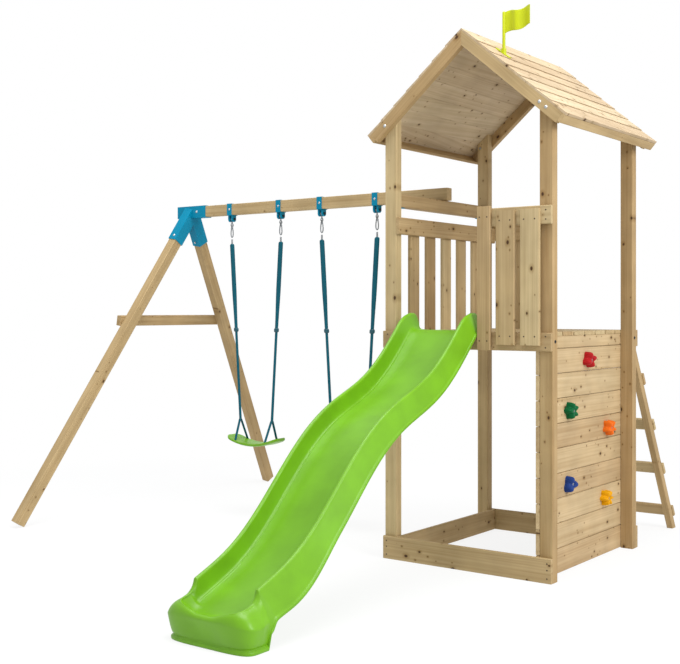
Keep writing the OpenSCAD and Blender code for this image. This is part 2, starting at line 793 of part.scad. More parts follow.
module slide_channel() {
    rings = [for (y = slide_stations) slide_ring(y)];
    sides = len(rings[0]);
    last = len(rings) - 1;
    walls = [for (i = [0:last - 1]) for (j = [0:sides - 1])
        let (a = i * sides + j, b = i * sides + (j + 1) % sides)
        each [[a, a + sides, b], [b, a + sides, b + sides]]];
    ends = [for (i = [0, last]) (rings[i][0] + rings[i][sides / 2]) / 2];
    middle = (last + 1) * sides;
    caps = [for (j = [0:sides - 1]) let (k = (j + 1) % sides)
        each [[middle, j, k], [middle + 1, last * sides + k, last * sides + j]]];
    points = concat([for (r = rings) each r], ends);
    polyhedron(points = points, faces = concat(walls, caps), convexity = 8);
}

module foot_plan(inset) {
    ys = [for (t = [0:0.1:1]) lip_end - foot_d + t * (foot_d - inset)];
    translate([slide_x, -board_t])
        polygon(concat([for (y = ys) [nose(y) - inset, -y]],
                       [for (i = [len(ys) - 1:-1:0]) [inset - nose(ys[i]), -ys[i]]]));
}

module slide() {
    color(moulded_green) in_place() {
        slide_channel();
        linear_extrude(lip_h - skirt / 2) foot_plan(lip_flare + foot_inset);
        linear_extrude(foot_flange_h) foot_plan(lip_flare);
    }
}

// Swing beam and its rail in the tower

rail_mid = (half_w + post_in) / 2;
beam_end = stock_t / 2 - rail_mid + beam_overhang;
beam_start = frame_x - beam_tail;

module beam_rail() {
    color(pine) in_place()
        timber([-rail_mid - stock_t / 2, stock_t / 2 - rail_mid], [stock_t, tower_d - stock_t],
               [beam_z - stock_w, beam_z]);
}

module beam_rail_brackets() {
    leg = 60;
    wide = 36;
    color(powder_coat) in_place() for (back = [0, 1])
        translate([0, back * tower_d, 0]) mirror([0, back, 0])
            translate([-rail_mid - wide / 2, stock_t, beam_z - stock_w - leg]) {
                cube([wide, steel_t, leg]);
                translate([0, 0, leg - steel_t]) cube([wide, leg, steel_t]);
            }
}

module across_beam(x) {
    translate([x, mid_d - stock_t / 2, frame_z]) rotate([90, 0, 0]) children();
}

module swing_beam() {
    color(pine) in_place() difference() {
        timber([beam_start, beam_end], [mid_d - stock_t / 2, mid_d + stock_t / 2],
               [beam_z, beam_z + stock_w]);
        across_beam(sleeve_bolt_x) bolt_hole(stock_t);
        for (x = pivot_x) across_beam(x) bolt_hole(stock_t, 3);
    }
}

// A-frame. In a leg's own axes Z runs up the leg to the top of the A-frame.

module a_frame() {
    translate([frame_x, mid_d, frame_z]) rotate([0, lean, 0]) children();
}

module along_leg(side) {
    a_frame() rotate([side * splay, 0, 0]) children();
}

module leg_bolt_place(side) {
    along_leg(side) translate([0, side * (leg_w / 2), -socket_bolt_t]) rotate([-side * 90, 0, 0]) children();
}

module leg(side) {
    difference() {
        along_leg(side)
            timber([-leg_t / 2, leg_t / 2], [-leg_w / 2, leg_w / 2], [-frame_z * 1.5, -leg_top]);
        translate([frame_x - frame_z, mid_d - 2 * frame_z, -frame_z])
            cube([2 * frame_z, 4 * frame_z, frame_z]);
        leg_bolt_place(side) bolt_hole(leg_w);
    }
}

module leg_front() { color(pine) in_place() leg(-1); }
module leg_back() { color(pine) in_place() leg(1); }

module a_frame_brace() {
    reach = brace_drop * tan(splay) + brace_overhang;
    color(pine) in_place() a_frame()
        timber([-leg_t / 2 - brace_t, -leg_t / 2], [-reach, reach],
               [-brace_drop - brace_h / 2, -brace_drop + brace_h / 2]);
}

// Folded steel connector: a sleeve on the beam's end and a socket on each leg
module a_frame_connector() {
    wall = steel_t;
    sleeve_x = beam_start - wall;
    fit = touch;
    color(powder_coat) in_place() difference() {
        union() {
            translate([sleeve_x, mid_d - stock_t / 2 - fit - wall, beam_z - fit - wall])
                cube([sleeve_len, stock_t + 2 * (fit + wall), stock_w + 2 * (fit + wall)]);
            for (side = [-1, 1]) along_leg(side)
                translate([-leg_t / 2 - fit - wall, -leg_w / 2 - fit - wall, -socket_len])
                    cube([leg_t + 2 * (fit + wall), leg_w + 2 * (fit + wall), socket_len + socket_rise]);
        }
        translate([beam_start - fit, mid_d - stock_t / 2 - fit, beam_z - fit])
            cube([sleeve_len + stock_w, stock_t + 2 * fit, stock_w + 2 * fit]);
        for (side = [-1, 1]) {
            along_leg(side) translate([-leg_t / 2 - fit, -leg_w / 2 - fit, -socket_len - 1])
                cube([leg_t + 2 * fit, leg_w + 2 * fit, socket_len + 1 - leg_top + fit]);
            leg_bolt_place(side) translate([0, 0, fit + wall]) bolt_hole(leg_w + 2 * (fit + wall));
        }
        across_beam(sleeve_bolt_x) translate([0, 0, fit + wall]) bolt_hole(stock_t + 2 * (fit + wall));
    }
}

module connector_bolts() {
    seat = touch + steel_t;
    color(zinc) in_place() {
        across_beam(sleeve_bolt_x) translate([0, 0, seat]) bolt(stock_t + 2 * seat);
        for (side = [-1, 1]) leg_bolt_place(side) translate([0, 0, seat]) bolt(leg_w + 2 * seat);
    }
}

// Swing pivots. A band wraps the beam and carries two cheeks; the pin through them runs along X.

band_t = 3;
cheek_gap = 16;
cheek_r = 18;
eye_w = 14;
eye_r = 10.5;

module beam_brackets() {
    color(powder_coat) in_place() for (x = pivot_x) difference() {
        union() {
            translate([x - bracket_w / 2, mid_d - stock_t / 2 - touch - band_t, beam_z - touch - band_t])
                cube([bracket_w, stock_t + 2 * (touch + band_t), stock_w + 2 * (touch + band_t)]);
            translate([x - bracket_w / 2, mid_d - cheek_r, pivot_z])
                cube([bracket_w, 2 * cheek_r, pivot_drop - touch - band_t / 2]);
            translate([x - bracket_w / 2, mid_d, pivot_z]) rotate([0, 90, 0])
                cylinder(h = bracket_w, r = cheek_r);
        }
        translate([x - bracket_w, mid_d - stock_t / 2 - touch, beam_z - touch])
            cube([2 * bracket_w, stock_t + 2 * touch, stock_w + 2 * touch]);
        translate([x - cheek_gap / 2, mid_d - stock_w, pivot_z - 2 * cheek_r])
            cube([cheek_gap, 2 * stock_w, 2 * cheek_r + pivot_drop - touch - band_t]);
        translate([x - bracket_w, mid_d, pivot_z]) rotate([0, 90, 0])
            cylinder(h = 2 * bracket_w, r = pin_r + pin_clear);
        across_beam(x) translate([0, 0, touch + band_t]) bolt_hole(stock_t + 2 * (touch + band_t), 3);
    }
}

module pivot_pins() {
    head = [pin_r + 3, 6];
    color("black") in_place() for (x = pivot_x) translate([x, mid_d, pivot_z]) rotate([0, 90, 0]) {
        cylinder(h = bracket_w + 2 * head[1], r = pin_r, center = true);
        for (side = [-1, 1])
            translate([0, 0, side * (bracket_w / 2 + touch + head[1] / 2)])
                cylinder(h = head[1], r = head[0], center = true);
    }
}

module bracket_bolts() {
    seat = touch + band_t;
    color(zinc) in_place() for (x = pivot_x)
        across_beam(x) translate([0, 0, seat]) bolt(stock_t + 2 * seat, 3, 7);
}

// Swings. Everything below the pivot pins turns as one.

module wire_link(z) {
    translate([0, 0, z]) rotate([0, 90, 0]) rotate_extrude() translate([link_r, 0]) circle(r = wire_r);
}

// Middle line of a strap at a height, drawn in from the pivot to the seat
function strap_x(z) =
    strap_gap / 2 + (pivot_gap - strap_gap) / 2 * (z - seat_boss_z) / (strap_top - seat_boss_z);

module at_swing_sides(s) {
    for (side = [-1, 1]) translate([swing_x[s], mid_d, 0]) mirror([side < 0 ? 1 : 0, 0, 0]) children();
}

module swing_eyes(s) {
    at_swing_sides(s) translate([pivot_gap / 2, 0, 0]) difference() {
        union() {
            translate([-eye_w / 2, 0, pivot_z]) rotate([0, 90, 0]) cylinder(h = eye_w, r = eye_r);
            translate([0, 0, pivot_z - eye_drop + link_r]) cylinder(h = eye_drop - link_r, r = wire_r + 1);
            wire_link(pivot_z - eye_drop);
        }
        translate([-eye_w, 0, pivot_z]) rotate([0, 90, 0]) cylinder(h = 2 * eye_w, r = pin_r + pin_clear);
    }
}

// Snap hook of bent wire with a sleeve over its gate, and the ring and ferrule on the strap's end
module swing_hooks(s) {
    bend = hook_w / 2;
    at_swing_sides(s) translate([pivot_gap / 2, 0, 0]) {
        for (end = [0, 1]) translate([0, 0, end == 0 ? hook_top - bend : hook_bottom + bend])
            rotate([90, 0, 0]) rotate([0, 0, 180 * end]) rotate_extrude(angle = 180)
                translate([bend, 0]) circle(r = wire_r);
        for (side = [-1, 1]) translate([side * bend, 0, hook_bottom + bend])
            cylinder(h = hook_len - hook_w, r = wire_r);
        translate([-bend, 0, hook_bottom + hook_len * 0.4]) cylinder(h = hook_len * 0.3, r = wire_r + 1.5);
        wire_link(link_z);
        translate([0, 0, strap_top + touch])
            cylinder(h = link_z - link_r - strap_top - touch, r = wire_r + 2);
    }
}

// Strap as a stack of level ovals, each with its own middle and its own two widths
module strap(middles, widths) {
    sides = 12;
    n = len(middles);
    points = [for (k = [0:n - 1]) for (i = [0:sides - 1])
        middles[k] + [widths[k][0] / 2 * cos(i * 360 / sides), widths[k][1] / 2 * sin(i * 360 / sides), 0]];
    walls = [for (k = [0:n - 2]) for (i = [0:sides - 1])
        let (a = k * sides + i, b = k * sides + (i + 1) % sides)
        each [[a, a + sides, b], [b, a + sides, b + sides]]];
    caps = [[for (i = [0:sides - 1]) i], [for (i = [sides - 1:-1:0]) (n - 1) * sides + i]];
    polyhedron(points = points, faces = concat(walls, caps), convexity = 2);
}

module swing_straps(s) {
    upper = [adjuster_z + adjuster_size[2] / 2 + touch, strap_top - 10, strap_top];
    lower = [joiner_z + joiner_size[2] / 2 + touch, adjuster_z - adjuster_size[2] / 2 - touch];
    strand_z = [seat_boss_z + touch, joiner_z - joiner_size[2] / 2 - touch];
    at_swing_sides(s) {
        strap([for (z = upper) [strap_x(z), 0, z]], [upper_strap, upper_strap, upper_strap * 0.7]);
        strap([for (z = lower) [strap_x(z), 0, z]], [lower_strap, lower_strap]);
        for (side = [-1, 1])
            strap([[strap_x(strand_z[0]), side * strand_gap / 2, strand_z[0]],
                   [strap_x(strand_z[1]), side * strand_split, strand_z[1]]], [strand, strand]);
    }
}

module rounded_plan(size, r) {
    square([size[0] - 2 * r, size[1]], center = true);
    square([size[0], size[1] - 2 * r], center = true);
    for (i = [-1, 1]) for (j = [-1, 1])
        translate([i * (size[0] / 2 - r), j * (size[1] / 2 - r)]) circle(r = r);
}

module swing_buckles(s) {
    at_swing_sides(s) for (b = [[adjuster_z, adjuster_size], [joiner_z, joiner_size]])
        translate([strap_x(b[0]), 0, b[0]])
            linear_extrude(b[1][2], center = true) rounded_plan(b[1], buckle_corner);
}

seat_r = (seat_len * seat_len / 4 + seat_sag * seat_sag) / (2 * seat_sag);
seat_corner = 45;

// Curved seat with a boss under the end of each strand
module swing_seat(s) {
    translate([swing_x[s], mid_d, 0]) {
        intersection() {
            translate([0, 0, seat_h + seat_r]) rotate([90, 0, 0]) difference() {
                cylinder(h = seat_w, r = seat_r + seat_t, center = true, $fn = 180);
                cylinder(h = seat_w + 2, r = seat_r, center = true, $fn = 180);
            }
            translate([0, 0, seat_h - 2 * seat_t]) linear_extrude(2 * seat_t + 2 * seat_sag)
                rounded_plan([seat_len, seat_w], seat_corner);
        }
        for (i = [-1, 1]) for (j = [-1, 1])
            translate([i * strap_x(seat_boss_z), j * strand_gap / 2, seat_h + seat_sag / 4])
                cylinder(h = seat_boss_z - seat_h - seat_sag / 4, r = seat_boss_r);
    }
}

module left_swing_eyes() { color(zinc) in_place() swing_eyes(0); }
module left_swing_hooks() { color(zinc) in_place() swing_hooks(0); }
module left_swing_straps() { color("teal") in_place() swing_straps(0); }
module left_swing_buckles() { color("darkslategray") in_place() swing_buckles(0); }
module left_swing_seat() { color(moulded_green) in_place() swing_seat(0); }
module right_swing_eyes() { color(zinc) in_place() swing_eyes(1); }
module right_swing_hooks() { color(zinc) in_place() swing_hooks(1); }
module right_swing_straps() { color("teal") in_place() swing_straps(1); }
module right_swing_buckles() { color("darkslategray") in_place() swing_buckles(1); }
module right_swing_seat() { color(moulded_green) in_place() swing_seat(1); }

post_front_left();
post_front_right();
post_back_left();
post_back_right();
base_board_front();
base_board_left();
base_board_back();
deck_fascia_front();
deck_fascia_back();
deck_joists();
deck_boards();
left_top_rail();
left_balusters();
beam_rail();
beam_rail_brackets();
front_panel_rail();
front_panel_boards();
back_panel_rail();
back_panel_boards();
climbing_wall_boards();
hold_red();
hold_green();
hold_orange();
hold_blue();
hold_yellow();
hold_bolts();
ladder_stiles();
ladder_rungs();
rafter_front_left();
rafter_front_right();
rafter_back_left();
rafter_back_right();
roof_boards_left();
roof_boards_right();
eave_board_left();
eave_board_right();
flag_base();
flag();
slide();
swing_beam();
a_frame_connector();
leg_front();
leg_back();
a_frame_brace();
beam_brackets();
pivot_pins();
rafter_bolts();
deck_bolts();
connector_bolts();
bracket_bolts();
left_swing_eyes();
left_swing_hooks();
left_swing_straps();
left_swing_buckles();
left_swing_seat();
right_swing_eyes();
right_swing_hooks();
right_swing_straps();
right_swing_buckles();
right_swing_seat();
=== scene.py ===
import math

import bmesh
import bpy
import numpy as np
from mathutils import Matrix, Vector


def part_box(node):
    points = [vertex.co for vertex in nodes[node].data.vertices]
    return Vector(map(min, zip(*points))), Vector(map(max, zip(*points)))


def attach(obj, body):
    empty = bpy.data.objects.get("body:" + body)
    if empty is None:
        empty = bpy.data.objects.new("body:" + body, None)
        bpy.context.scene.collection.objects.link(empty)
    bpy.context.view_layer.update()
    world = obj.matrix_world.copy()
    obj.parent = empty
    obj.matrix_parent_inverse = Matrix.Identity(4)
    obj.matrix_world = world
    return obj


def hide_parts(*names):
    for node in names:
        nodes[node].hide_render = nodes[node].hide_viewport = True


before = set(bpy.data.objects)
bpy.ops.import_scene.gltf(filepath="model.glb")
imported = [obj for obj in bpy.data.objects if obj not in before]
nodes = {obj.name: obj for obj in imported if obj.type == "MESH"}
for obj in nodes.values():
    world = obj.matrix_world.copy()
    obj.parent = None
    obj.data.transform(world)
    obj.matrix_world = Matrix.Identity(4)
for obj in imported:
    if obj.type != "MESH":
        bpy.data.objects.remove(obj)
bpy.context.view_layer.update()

# Camera
# A long lens at a standing adult's eye height, to the right of the slide, level with the horizon a little
# above the middle of the picture. The tower's own axes are kept, so the place is given from its front.
PHOTO = (680, 664)
LENS_PX = 1125.0
HORIZON_PX = 310.8
CAMERA_FROM_TOWER = (2.883, -4.915, 1.305)
CAMERA_TURN = math.radians(36.72)

deck_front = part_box("deck_fascia_front")
tower_x = (deck_front[0].x + deck_front[1].x) / 2
tower_y = deck_front[1].y

camera_data = bpy.data.cameras.new("camera")
camera_data.sensor_fit = "HORIZONTAL"
camera_data.sensor_width = 36.0
camera_data.lens = LENS_PX * camera_data.sensor_width / PHOTO[0]
camera_data.shift_y = (HORIZON_PX - PHOTO[1] / 2) / PHOTO[0]
camera = bpy.data.objects.new("camera", camera_data)
camera.location = Vector(CAMERA_FROM_TOWER) + Vector((tower_x, tower_y, 0))
camera.rotation_euler = (math.radians(90), 0, CAMERA_TURN)
bpy.context.scene.collection.objects.link(camera)
bpy.context.scene.camera = camera


# Studio
# A white paper floor in a white room: a wide soft box overhead, a second one high on the right and even light
# all round. The room and the far floor show as plain white, and the near floor keeps the frame's soft shadow.
def linear(hex_colour):
    """An sRGB hex colour as linear red, green and blue with full alpha."""
    srgb = np.array([int(hex_colour[i:i + 2], 16) for i in (1, 3, 5)]) / 255
    rgb = np.where(srgb <= 0.04045, srgb / 12.92, ((srgb + 0.055) / 1.055) ** 2.4)
    return (*rgb.tolist(), 1.0)


def add(tree, kind, inputs=None, **settings):
    """Adds a node, sets its properties, and sets or links each named input."""
    node = tree.nodes.new(kind)
    for key, value in settings.items():
        setattr(node, key, value)
    for key, value in (inputs or {}).items():
        if isinstance(value, bpy.types.NodeSocket):
            tree.links.new(value, node.inputs[key])
        else:
            node.inputs[key].default_value = value
    return node


def put_mesh(name, points, faces, smooth=True):
    """A mesh object at the origin from an array of points and a list of faces."""
    mesh = bpy.data.meshes.new(name)
    mesh.from_pydata(np.asarray(points, float).reshape(-1, 3).tolist(), [], faces)
    mesh.polygons.foreach_set("use_smooth", [smooth] * len(mesh.polygons))
    mesh.update()
    piece = bpy.data.objects.new(name, mesh)
    bpy.context.scene.collection.objects.link(piece)
    return piece


bpy.context.scene.view_settings.view_transform = "Standard"

world = bpy.data.worlds.new("white_room")
world.use_nodes = True
bpy.context.scene.world = world
sky = world.node_tree
sky.nodes.clear()
ray = add(sky, "ShaderNodeLightPath")
seen = add(sky, "ShaderNodeMath", {0: ray.outputs["Is Camera Ray"], 1: ray.outputs["Is Glossy Ray"]},
           operation="MAXIMUM")
seen = add(sky, "ShaderNodeMath", {0: seen.outputs[0], 1: ray.outputs["Is Transmission Ray"]},
           operation="MAXIMUM")
room = add(sky, "ShaderNodeBackground", {"Color": linear("#f6f9ff"), "Strength": 0.58})
white = add(sky, "ShaderNodeBackground", {"Color": (1, 1, 1, 1), "Strength": 1.0})
shown = add(sky, "ShaderNodeMixShader", {0: seen.outputs[0], 1: room.outputs[0], 2: white.outputs[0]})
add(sky, "ShaderNodeOutputWorld", {"Surface": shown.outputs[0]})


def soft_box(name, place, aim, size, power):
    """A square area lamp at a place, turned to shine at a point."""
    lamp = bpy.data.lights.new(name, "AREA")
    lamp.shape = "SQUARE"
    lamp.size = size
    lamp.energy = power
    lamp_object = bpy.data.objects.new(name, lamp)
    lamp_object.location = place
    lamp_object.rotation_euler = (Vector(aim) - Vector(place)).to_track_quat("-Z", "Y").to_euler()
    bpy.context.scene.collection.objects.link(lamp_object)


soft_box("overhead", (1.2, -1.0, 7.5), (0.5, 0, 0), 5.0, 470)
soft_box("right", (7.5, -1.5, 4.5), (0.5, 0, 1.2), 3.5, 360)

# White paper, matt. A share FLOOR_GLOW of it shines plain white everywhere, and where it is looked at a share
# SEEN_GLOW of the rest does too, so that the shadow on it stays pale. From FADE_FROM to FADE_TO metres away
# it turns to plain white light.
FLOOR_HALF, FADE_FROM, FADE_TO = 60.0, 1.6, 4.0
FLOOR_GLOW, SEEN_GLOW = 0.6, 0.6
corners = FLOOR_HALF * np.array([(-1, -1, 0), (1, -1, 0), (1, 1, 0), (-1, 1, 0)])
floor = put_mesh("floor", corners, [(0, 1, 2, 3)], False)
paper = bpy.data.materials.new("white_paper")
paper.use_nodes = True
sheet = paper.node_tree
sheet.nodes["Principled BSDF"].inputs["Base Color"].default_value = linear("#f6f6f4")
sheet.nodes["Principled BSDF"].inputs["Roughness"].default_value = 0.9
spot = add(sheet, "ShaderNodeTexCoord")
away = add(sheet, "ShaderNodeVectorMath", {0: spot.outputs["Object"]}, operation="LENGTH")
fade = add(sheet, "ShaderNodeMapRange", {"Value": away.outputs["Value"], "From Min": FADE_FROM,
                                         "From Max": FADE_TO})
glow = add(sheet, "ShaderNodeEmission", {"Color": (1, 1, 1, 1), "Strength": 1.0})
lit = add(sheet, "ShaderNodeMath", {0: fade.outputs[0], 1: FLOOR_GLOW}, operation="MAXIMUM")
mixed = add(sheet, "ShaderNodeMixShader", {0: lit.outputs[0], 1: sheet.nodes["Principled BSDF"].outputs[0],
                                           2: glow.outputs[0]})
bright = add(sheet, "ShaderNodeMixShader", {0: SEEN_GLOW, 1: mixed.outputs[0], 2: glow.outputs[0]})
ray = add(sheet, "ShaderNodeLightPath")
seen = add(sheet, "ShaderNodeMath", {0: ray.outputs["Is Camera Ray"], 1: ray.outputs["Is Glossy Ray"]},
           operation="MAXIMUM")
seen = add(sheet, "ShaderNodeMath", {0: seen.outputs[0], 1: ray.outputs["Is Transmission Ray"]},
           operation="MAXIMUM")
mixed = add(sheet, "ShaderNodeMixShader", {0: seen.outputs[0], 1: mixed.outputs[0], 2: bright.outputs[0]})
sheet.links.new(mixed.outputs[0], sheet.nodes["Material Output"].inputs["Surface"])
floor.data.materials.append(paper)

# Corner posts
# Four planed pine posts, 70 by 52 mm, cut at the top to the slope of the roof. The pine is pressure
# treated, so it is an even straw colour with brown knots, and its arrises are eased by the planer.
ARRIS = 0.0012
treated_seed = iter(range(1, 1000))


def board_axes(points, triangles):
    """The long, wide and thin directions of one board: the axes of its surface's spread, longest first."""
    corners = points[triangles]
    area = np.linalg.norm(np.cross(corners[:, 1] - corners[:, 0], corners[:, 2] - corners[:, 0]), axis=1)
    centre = corners.mean(1)
    middle = np.average(centre, axis=0, weights=area)
    spread = np.einsum("n,ni,nj->ij", area, centre - middle, centre - middle)
    axes = np.linalg.eigh(spread)[1].T[::-1]
    lead = np.abs(axes).argmax(1)
    return middle, axes * np.sign(axes[np.arange(3), lead])[:, None]


def sawn(node, material, square_foot=False):
    """A copy of a timber node, merged and eased, in which every board has its own piece of the tree: the
    attribute grain holds millimetres along, across and through the board from a random place in the log,
    and tone a random shade from 0 to 1. A square foot is cut across the board, so that it stands on one edge.
    Gives back the lowest and highest corner of each board."""
    source = nodes[node].data
    points = np.empty(len(source.vertices) * 3, np.float32)
    source.vertices.foreach_get("co", points)
    source.calc_loop_triangles()
    triangles = np.empty(len(source.loop_triangles) * 3, np.int32)
    source.loop_triangles.foreach_get("vertices", triangles)
    first, merged = np.unique(np.round(points.reshape(-1, 3) * 1e5).astype(np.int64), axis=0,
                              return_index=True, return_inverse=True)[1:]
    points = points.reshape(-1, 3)[first].astype(float)
    triangles = merged.reshape(-1)[triangles].reshape(-1, 3)
    triangles = triangles[(triangles != np.roll(triangles, 1, axis=1)).all(1)]
    board = np.arange(len(points))
    while True:
        lowest = board.copy()
        np.minimum.at(lowest, triangles, board[triangles].min(1)[:, None])
        lowest = lowest[lowest]
        if (lowest == board).all():
            break
        board = lowest
    random = np.random.default_rng(next(treated_seed))
    grain = np.zeros((len(points), 3))
    tone = np.zeros(len(points))
    boxes = []
    for label in np.unique(board):
        own = board == label
        middle, axes = board_axes(points, triangles[own[triangles[:, 0]]])
        if square_foot:
            foot = own & (points[:, 2] < 0.001)
            reach = (points[foot] - middle) @ axes[0]
            nearest = reach[np.abs(reach).argmin()]
            points[foot] += (nearest - reach)[:, None] * axes[0]
        log = random.uniform((-4000, -60, 35), (4000, 60, 110))
        grain[own] = (points[own] - middle) @ axes.T * 1000 + log
        tone[own] = random.uniform()
        boxes.append((points[own].min(0), points[own].max(0)))
    piece = put_mesh(node + "_pine", points, triangles.tolist(), False)
    mesh = piece.data
    mesh.attributes.new("grain", "FLOAT_VECTOR", "POINT").data.foreach_set("vector", grain.ravel())
    mesh.attributes.new("tone", "FLOAT", "POINT").data.foreach_set("value", tone)
    flat = piece.modifiers.new("flat", "DECIMATE")
    flat.decimate_type = "DISSOLVE"
    flat.angle_limit = math.radians(1)
    edges = piece.modifiers.new("eased", "BEVEL")
    edges.width = ARRIS
    edges.segments = 2
    edges.limit_method = "ANGLE"
    edges.angle_limit = math.radians(35)
    mesh.materials.append(material)
    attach(piece, "frame")
    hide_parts(node)
    return boxes


def spots(tree, grain, size_mm, share, radius):
    """Branches cut through: a mask of round spots and a soft halo round them. The cells of size_mm along and
    across the board hold one spot each in about a share of the cells, more of them in some places than in
    others, and a spot's radius is at most radius times the cell."""
    place = add(tree, "ShaderNodeMapping", {"Vector": grain, "Scale": (1 / size_mm[0], 1 / size_mm[1], 1)})
    cells = add(tree, "ShaderNodeTexVoronoi", {"Vector": place.outputs[0], "Scale": 1.0},
                voronoi_dimensions="2D")
    chosen = add(tree, "ShaderNodeSeparateColor", {0: cells.outputs["Color"]})
    group = add(tree, "ShaderNodeTexNoise", {"Vector": grain, "Scale": 0.004, "Detail": 1.0})
    least = add(tree, "ShaderNodeMapRange", {"Value": group.outputs["Fac"], "From Min": 0.4, "From Max": 0.62,
                                             "To Min": 1.0, "To Max": 1 - 2 * share})
    reach = add(tree, "ShaderNodeMapRange", {"Value": chosen.outputs[0], "From Min": least.outputs[0],
                                             "From Max": 1.0, "To Min": 0.5 * radius, "To Max": radius})
    grown = add(tree, "ShaderNodeMath", {0: chosen.outputs[0], 1: least.outputs[0]}, operation="GREATER_THAN")
    edge = add(tree, "ShaderNodeMath", {0: cells.outputs["Distance"], 1: reach.outputs[0]},
               operation="DIVIDE")
    core = add(tree, "ShaderNodeMapRange", {"Value": edge.outputs[0], "From Min": 0.7, "From Max": 1.15,
                                            "To Min": 1.0, "To Max": 0.0})
    ring = add(tree, "ShaderNodeMapRange", {"Value": edge.outputs[0], "From Min": 0.9, "From Max": 2.8,
                                            "To Min": 0.35, "To Max": 0.0})
    core = add(tree, "ShaderNodeMath", {0: core.outputs[0], 1: grown.outputs[0]}, operation="MULTIPLY")
    ring = add(tree, "ShaderNodeMath", {0: ring.outputs[0], 1: grown.outputs[0]}, operation="MULTIPLY")
    return core.outputs[0], ring.outputs[0]


def treated_pine(name, pale, deep, knotty, vary, knot="#462d17"):
    """Planed pine: growth rings round the heart of the log, cut by each face, soft streaks along the grain,
    and brown knots, big and small. Early wood is pale and late wood is deep, and the boards vary in shade."""
    material = bpy.data.materials.new(name)
    material.use_nodes = True
    tree = material.node_tree
    shader = tree.nodes["Principled BSDF"]
    grain = add(tree, "ShaderNodeAttribute", attribute_name="grain").outputs["Vector"]
    tone = add(tree, "ShaderNodeAttribute", attribute_name="tone")

    # Growth rings 9 mm apart, drawn coarser than real ones so that they show, and drawn out along the log
    RING_MM = 9.0
    stretch = add(tree, "ShaderNodeMapping", {"Vector": grain, "Scale": (0.02, 1, 1)})
    wander = add(tree, "ShaderNodeTexNoise", {"Vector": stretch.outputs[0], "Scale": 0.02, "Detail": 2.0})
    bent = add(tree, "ShaderNodeVectorMath", {0: wander.outputs["Color"], "Scale": 40.0}, operation="SCALE")
    bent = add(tree, "ShaderNodeVectorMath", {0: stretch.outputs[0], 1: bent.outputs[0]}, operation="ADD")
    rings = add(tree, "ShaderNodeTexWave", {
        "Vector": bent.outputs[0], "Scale": 2 * math.pi / 20 / RING_MM, "Distortion": 1.5, "Detail": 2.0,
        "Detail Scale": 0.4}, wave_type="RINGS", rings_direction="X", wave_profile="SIN")

    # Streaks 25 mm wide and longer than an arm, with finer ones in them
    drawn = add(tree, "ShaderNodeMapping", {"Vector": grain, "Scale": (0.0015, 0.04, 0.04)})
    streaks = add(tree, "ShaderNodeTexNoise", {"Vector": drawn.outputs[0], "Scale": 1.0, "Detail": 3.0,
                                               "Roughness": 0.6})

    # Knots up to 22 by 15 mm, and pin knots up to 10 by 7 mm
    knots, halo = spots(tree, grain, (150, 100), knotty, 0.075)
    pins, pin_halo = spots(tree, grain, (80, 60), knotty, 0.06)

    figure = add(tree, "ShaderNodeMath", {0: rings.outputs["Fac"], 1: 0.12}, operation="MULTIPLY")
    figure = add(tree, "ShaderNodeMath", {0: streaks.outputs["Fac"], 1: 0.7, 2: figure.outputs[0]},
                 operation="MULTIPLY_ADD")
    figure = add(tree, "ShaderNodeMath", {0: figure.outputs[0], 1: halo}, operation="ADD")
    figure = add(tree, "ShaderNodeMath", {0: figure.outputs[0], 1: pin_halo}, operation="ADD")
    figure = add(tree, "ShaderNodeMapRange", {"Value": figure.outputs[0], "From Min": 0.2, "From Max": 0.82})
    wood = add(tree, "ShaderNodeMix", {"Factor": figure.outputs[0], "A": linear(pale), "B": linear(deep)},
               data_type="RGBA")

    # A dark board is also redder and stronger in colour, and each board has patches as long as a hand
    shade = add(tree, "ShaderNodeMapRange", {"Value": tone.outputs["Fac"], "To Min": 1 - 0.18 * vary,
                                             "To Max": 1 + 0.1 * vary})
    warmth = add(tree, "ShaderNodeMapRange", {"Value": tone.outputs["Fac"], "To Min": 0.5 - 0.011 * vary,
                                              "To Max": 0.5 + 0.004 * vary})
    depth = add(tree, "ShaderNodeMapRange", {"Value": tone.outputs["Fac"], "To Min": 1 + 0.1 * vary,
                                             "To Max": 1 - 0.06 * vary})
    patch = add(tree, "ShaderNodeTexNoise", {"Vector": grain, "Scale": 0.006, "Detail": 2.0})
    patch = add(tree, "ShaderNodeMapRange", {"Value": patch.outputs["Fac"], "From Min": 0.3, "From Max": 0.7,
                                             "To Min": 0.9, "To Max": 1.07})
    shade = add(tree, "ShaderNodeMath", {0: shade.outputs[0], 1: patch.outputs[0]}, operation="MULTIPLY")
    toned = add(tree, "ShaderNodeHueSaturation", {"Color": wood.outputs["Result"], "Value": shade.outputs[0],
                                                  "Hue": warmth.outputs[0], "Saturation": depth.outputs[0]})
    pins = add(tree, "ShaderNodeMath", {0: pins, 1: 0.6}, operation="MULTIPLY")
    dark = add(tree, "ShaderNodeMath", {0: knots, 1: pins.outputs[0]}, operation="MAXIMUM")
    knotted = add(tree, "ShaderNodeMix", {"Factor": dark.outputs[0], "A": toned.outputs[0],
                                          "B": linear(knot)}, data_type="RGBA")
    tree.links.new(knotted.outputs["Result"], shader.inputs["Base Color"])
    rough = add(tree, "ShaderNodeMapRange", {"Value": streaks.outputs["Fac"], "To Min": 0.6, "To Max": 0.85})
    tree.links.new(rough.outputs[0], shader.inputs["Roughness"])
    shader.inputs["Specular IOR Level"].default_value = 0.3
    relief = add(tree, "ShaderNodeBump", {"Height": figure.outputs[0], "Strength": 0.12, "Distance": 0.0005})
    tree.links.new(relief.outputs[0], shader.inputs["Normal"])
    return material


post_pine = treated_pine("treated_pine_post", "#c0a97d", "#957a4e", knotty=0.24, vary=1.0)
for corner in ("front_left", "front_right", "back_left", "back_right"):
    sawn("post_" + corner, post_pine)

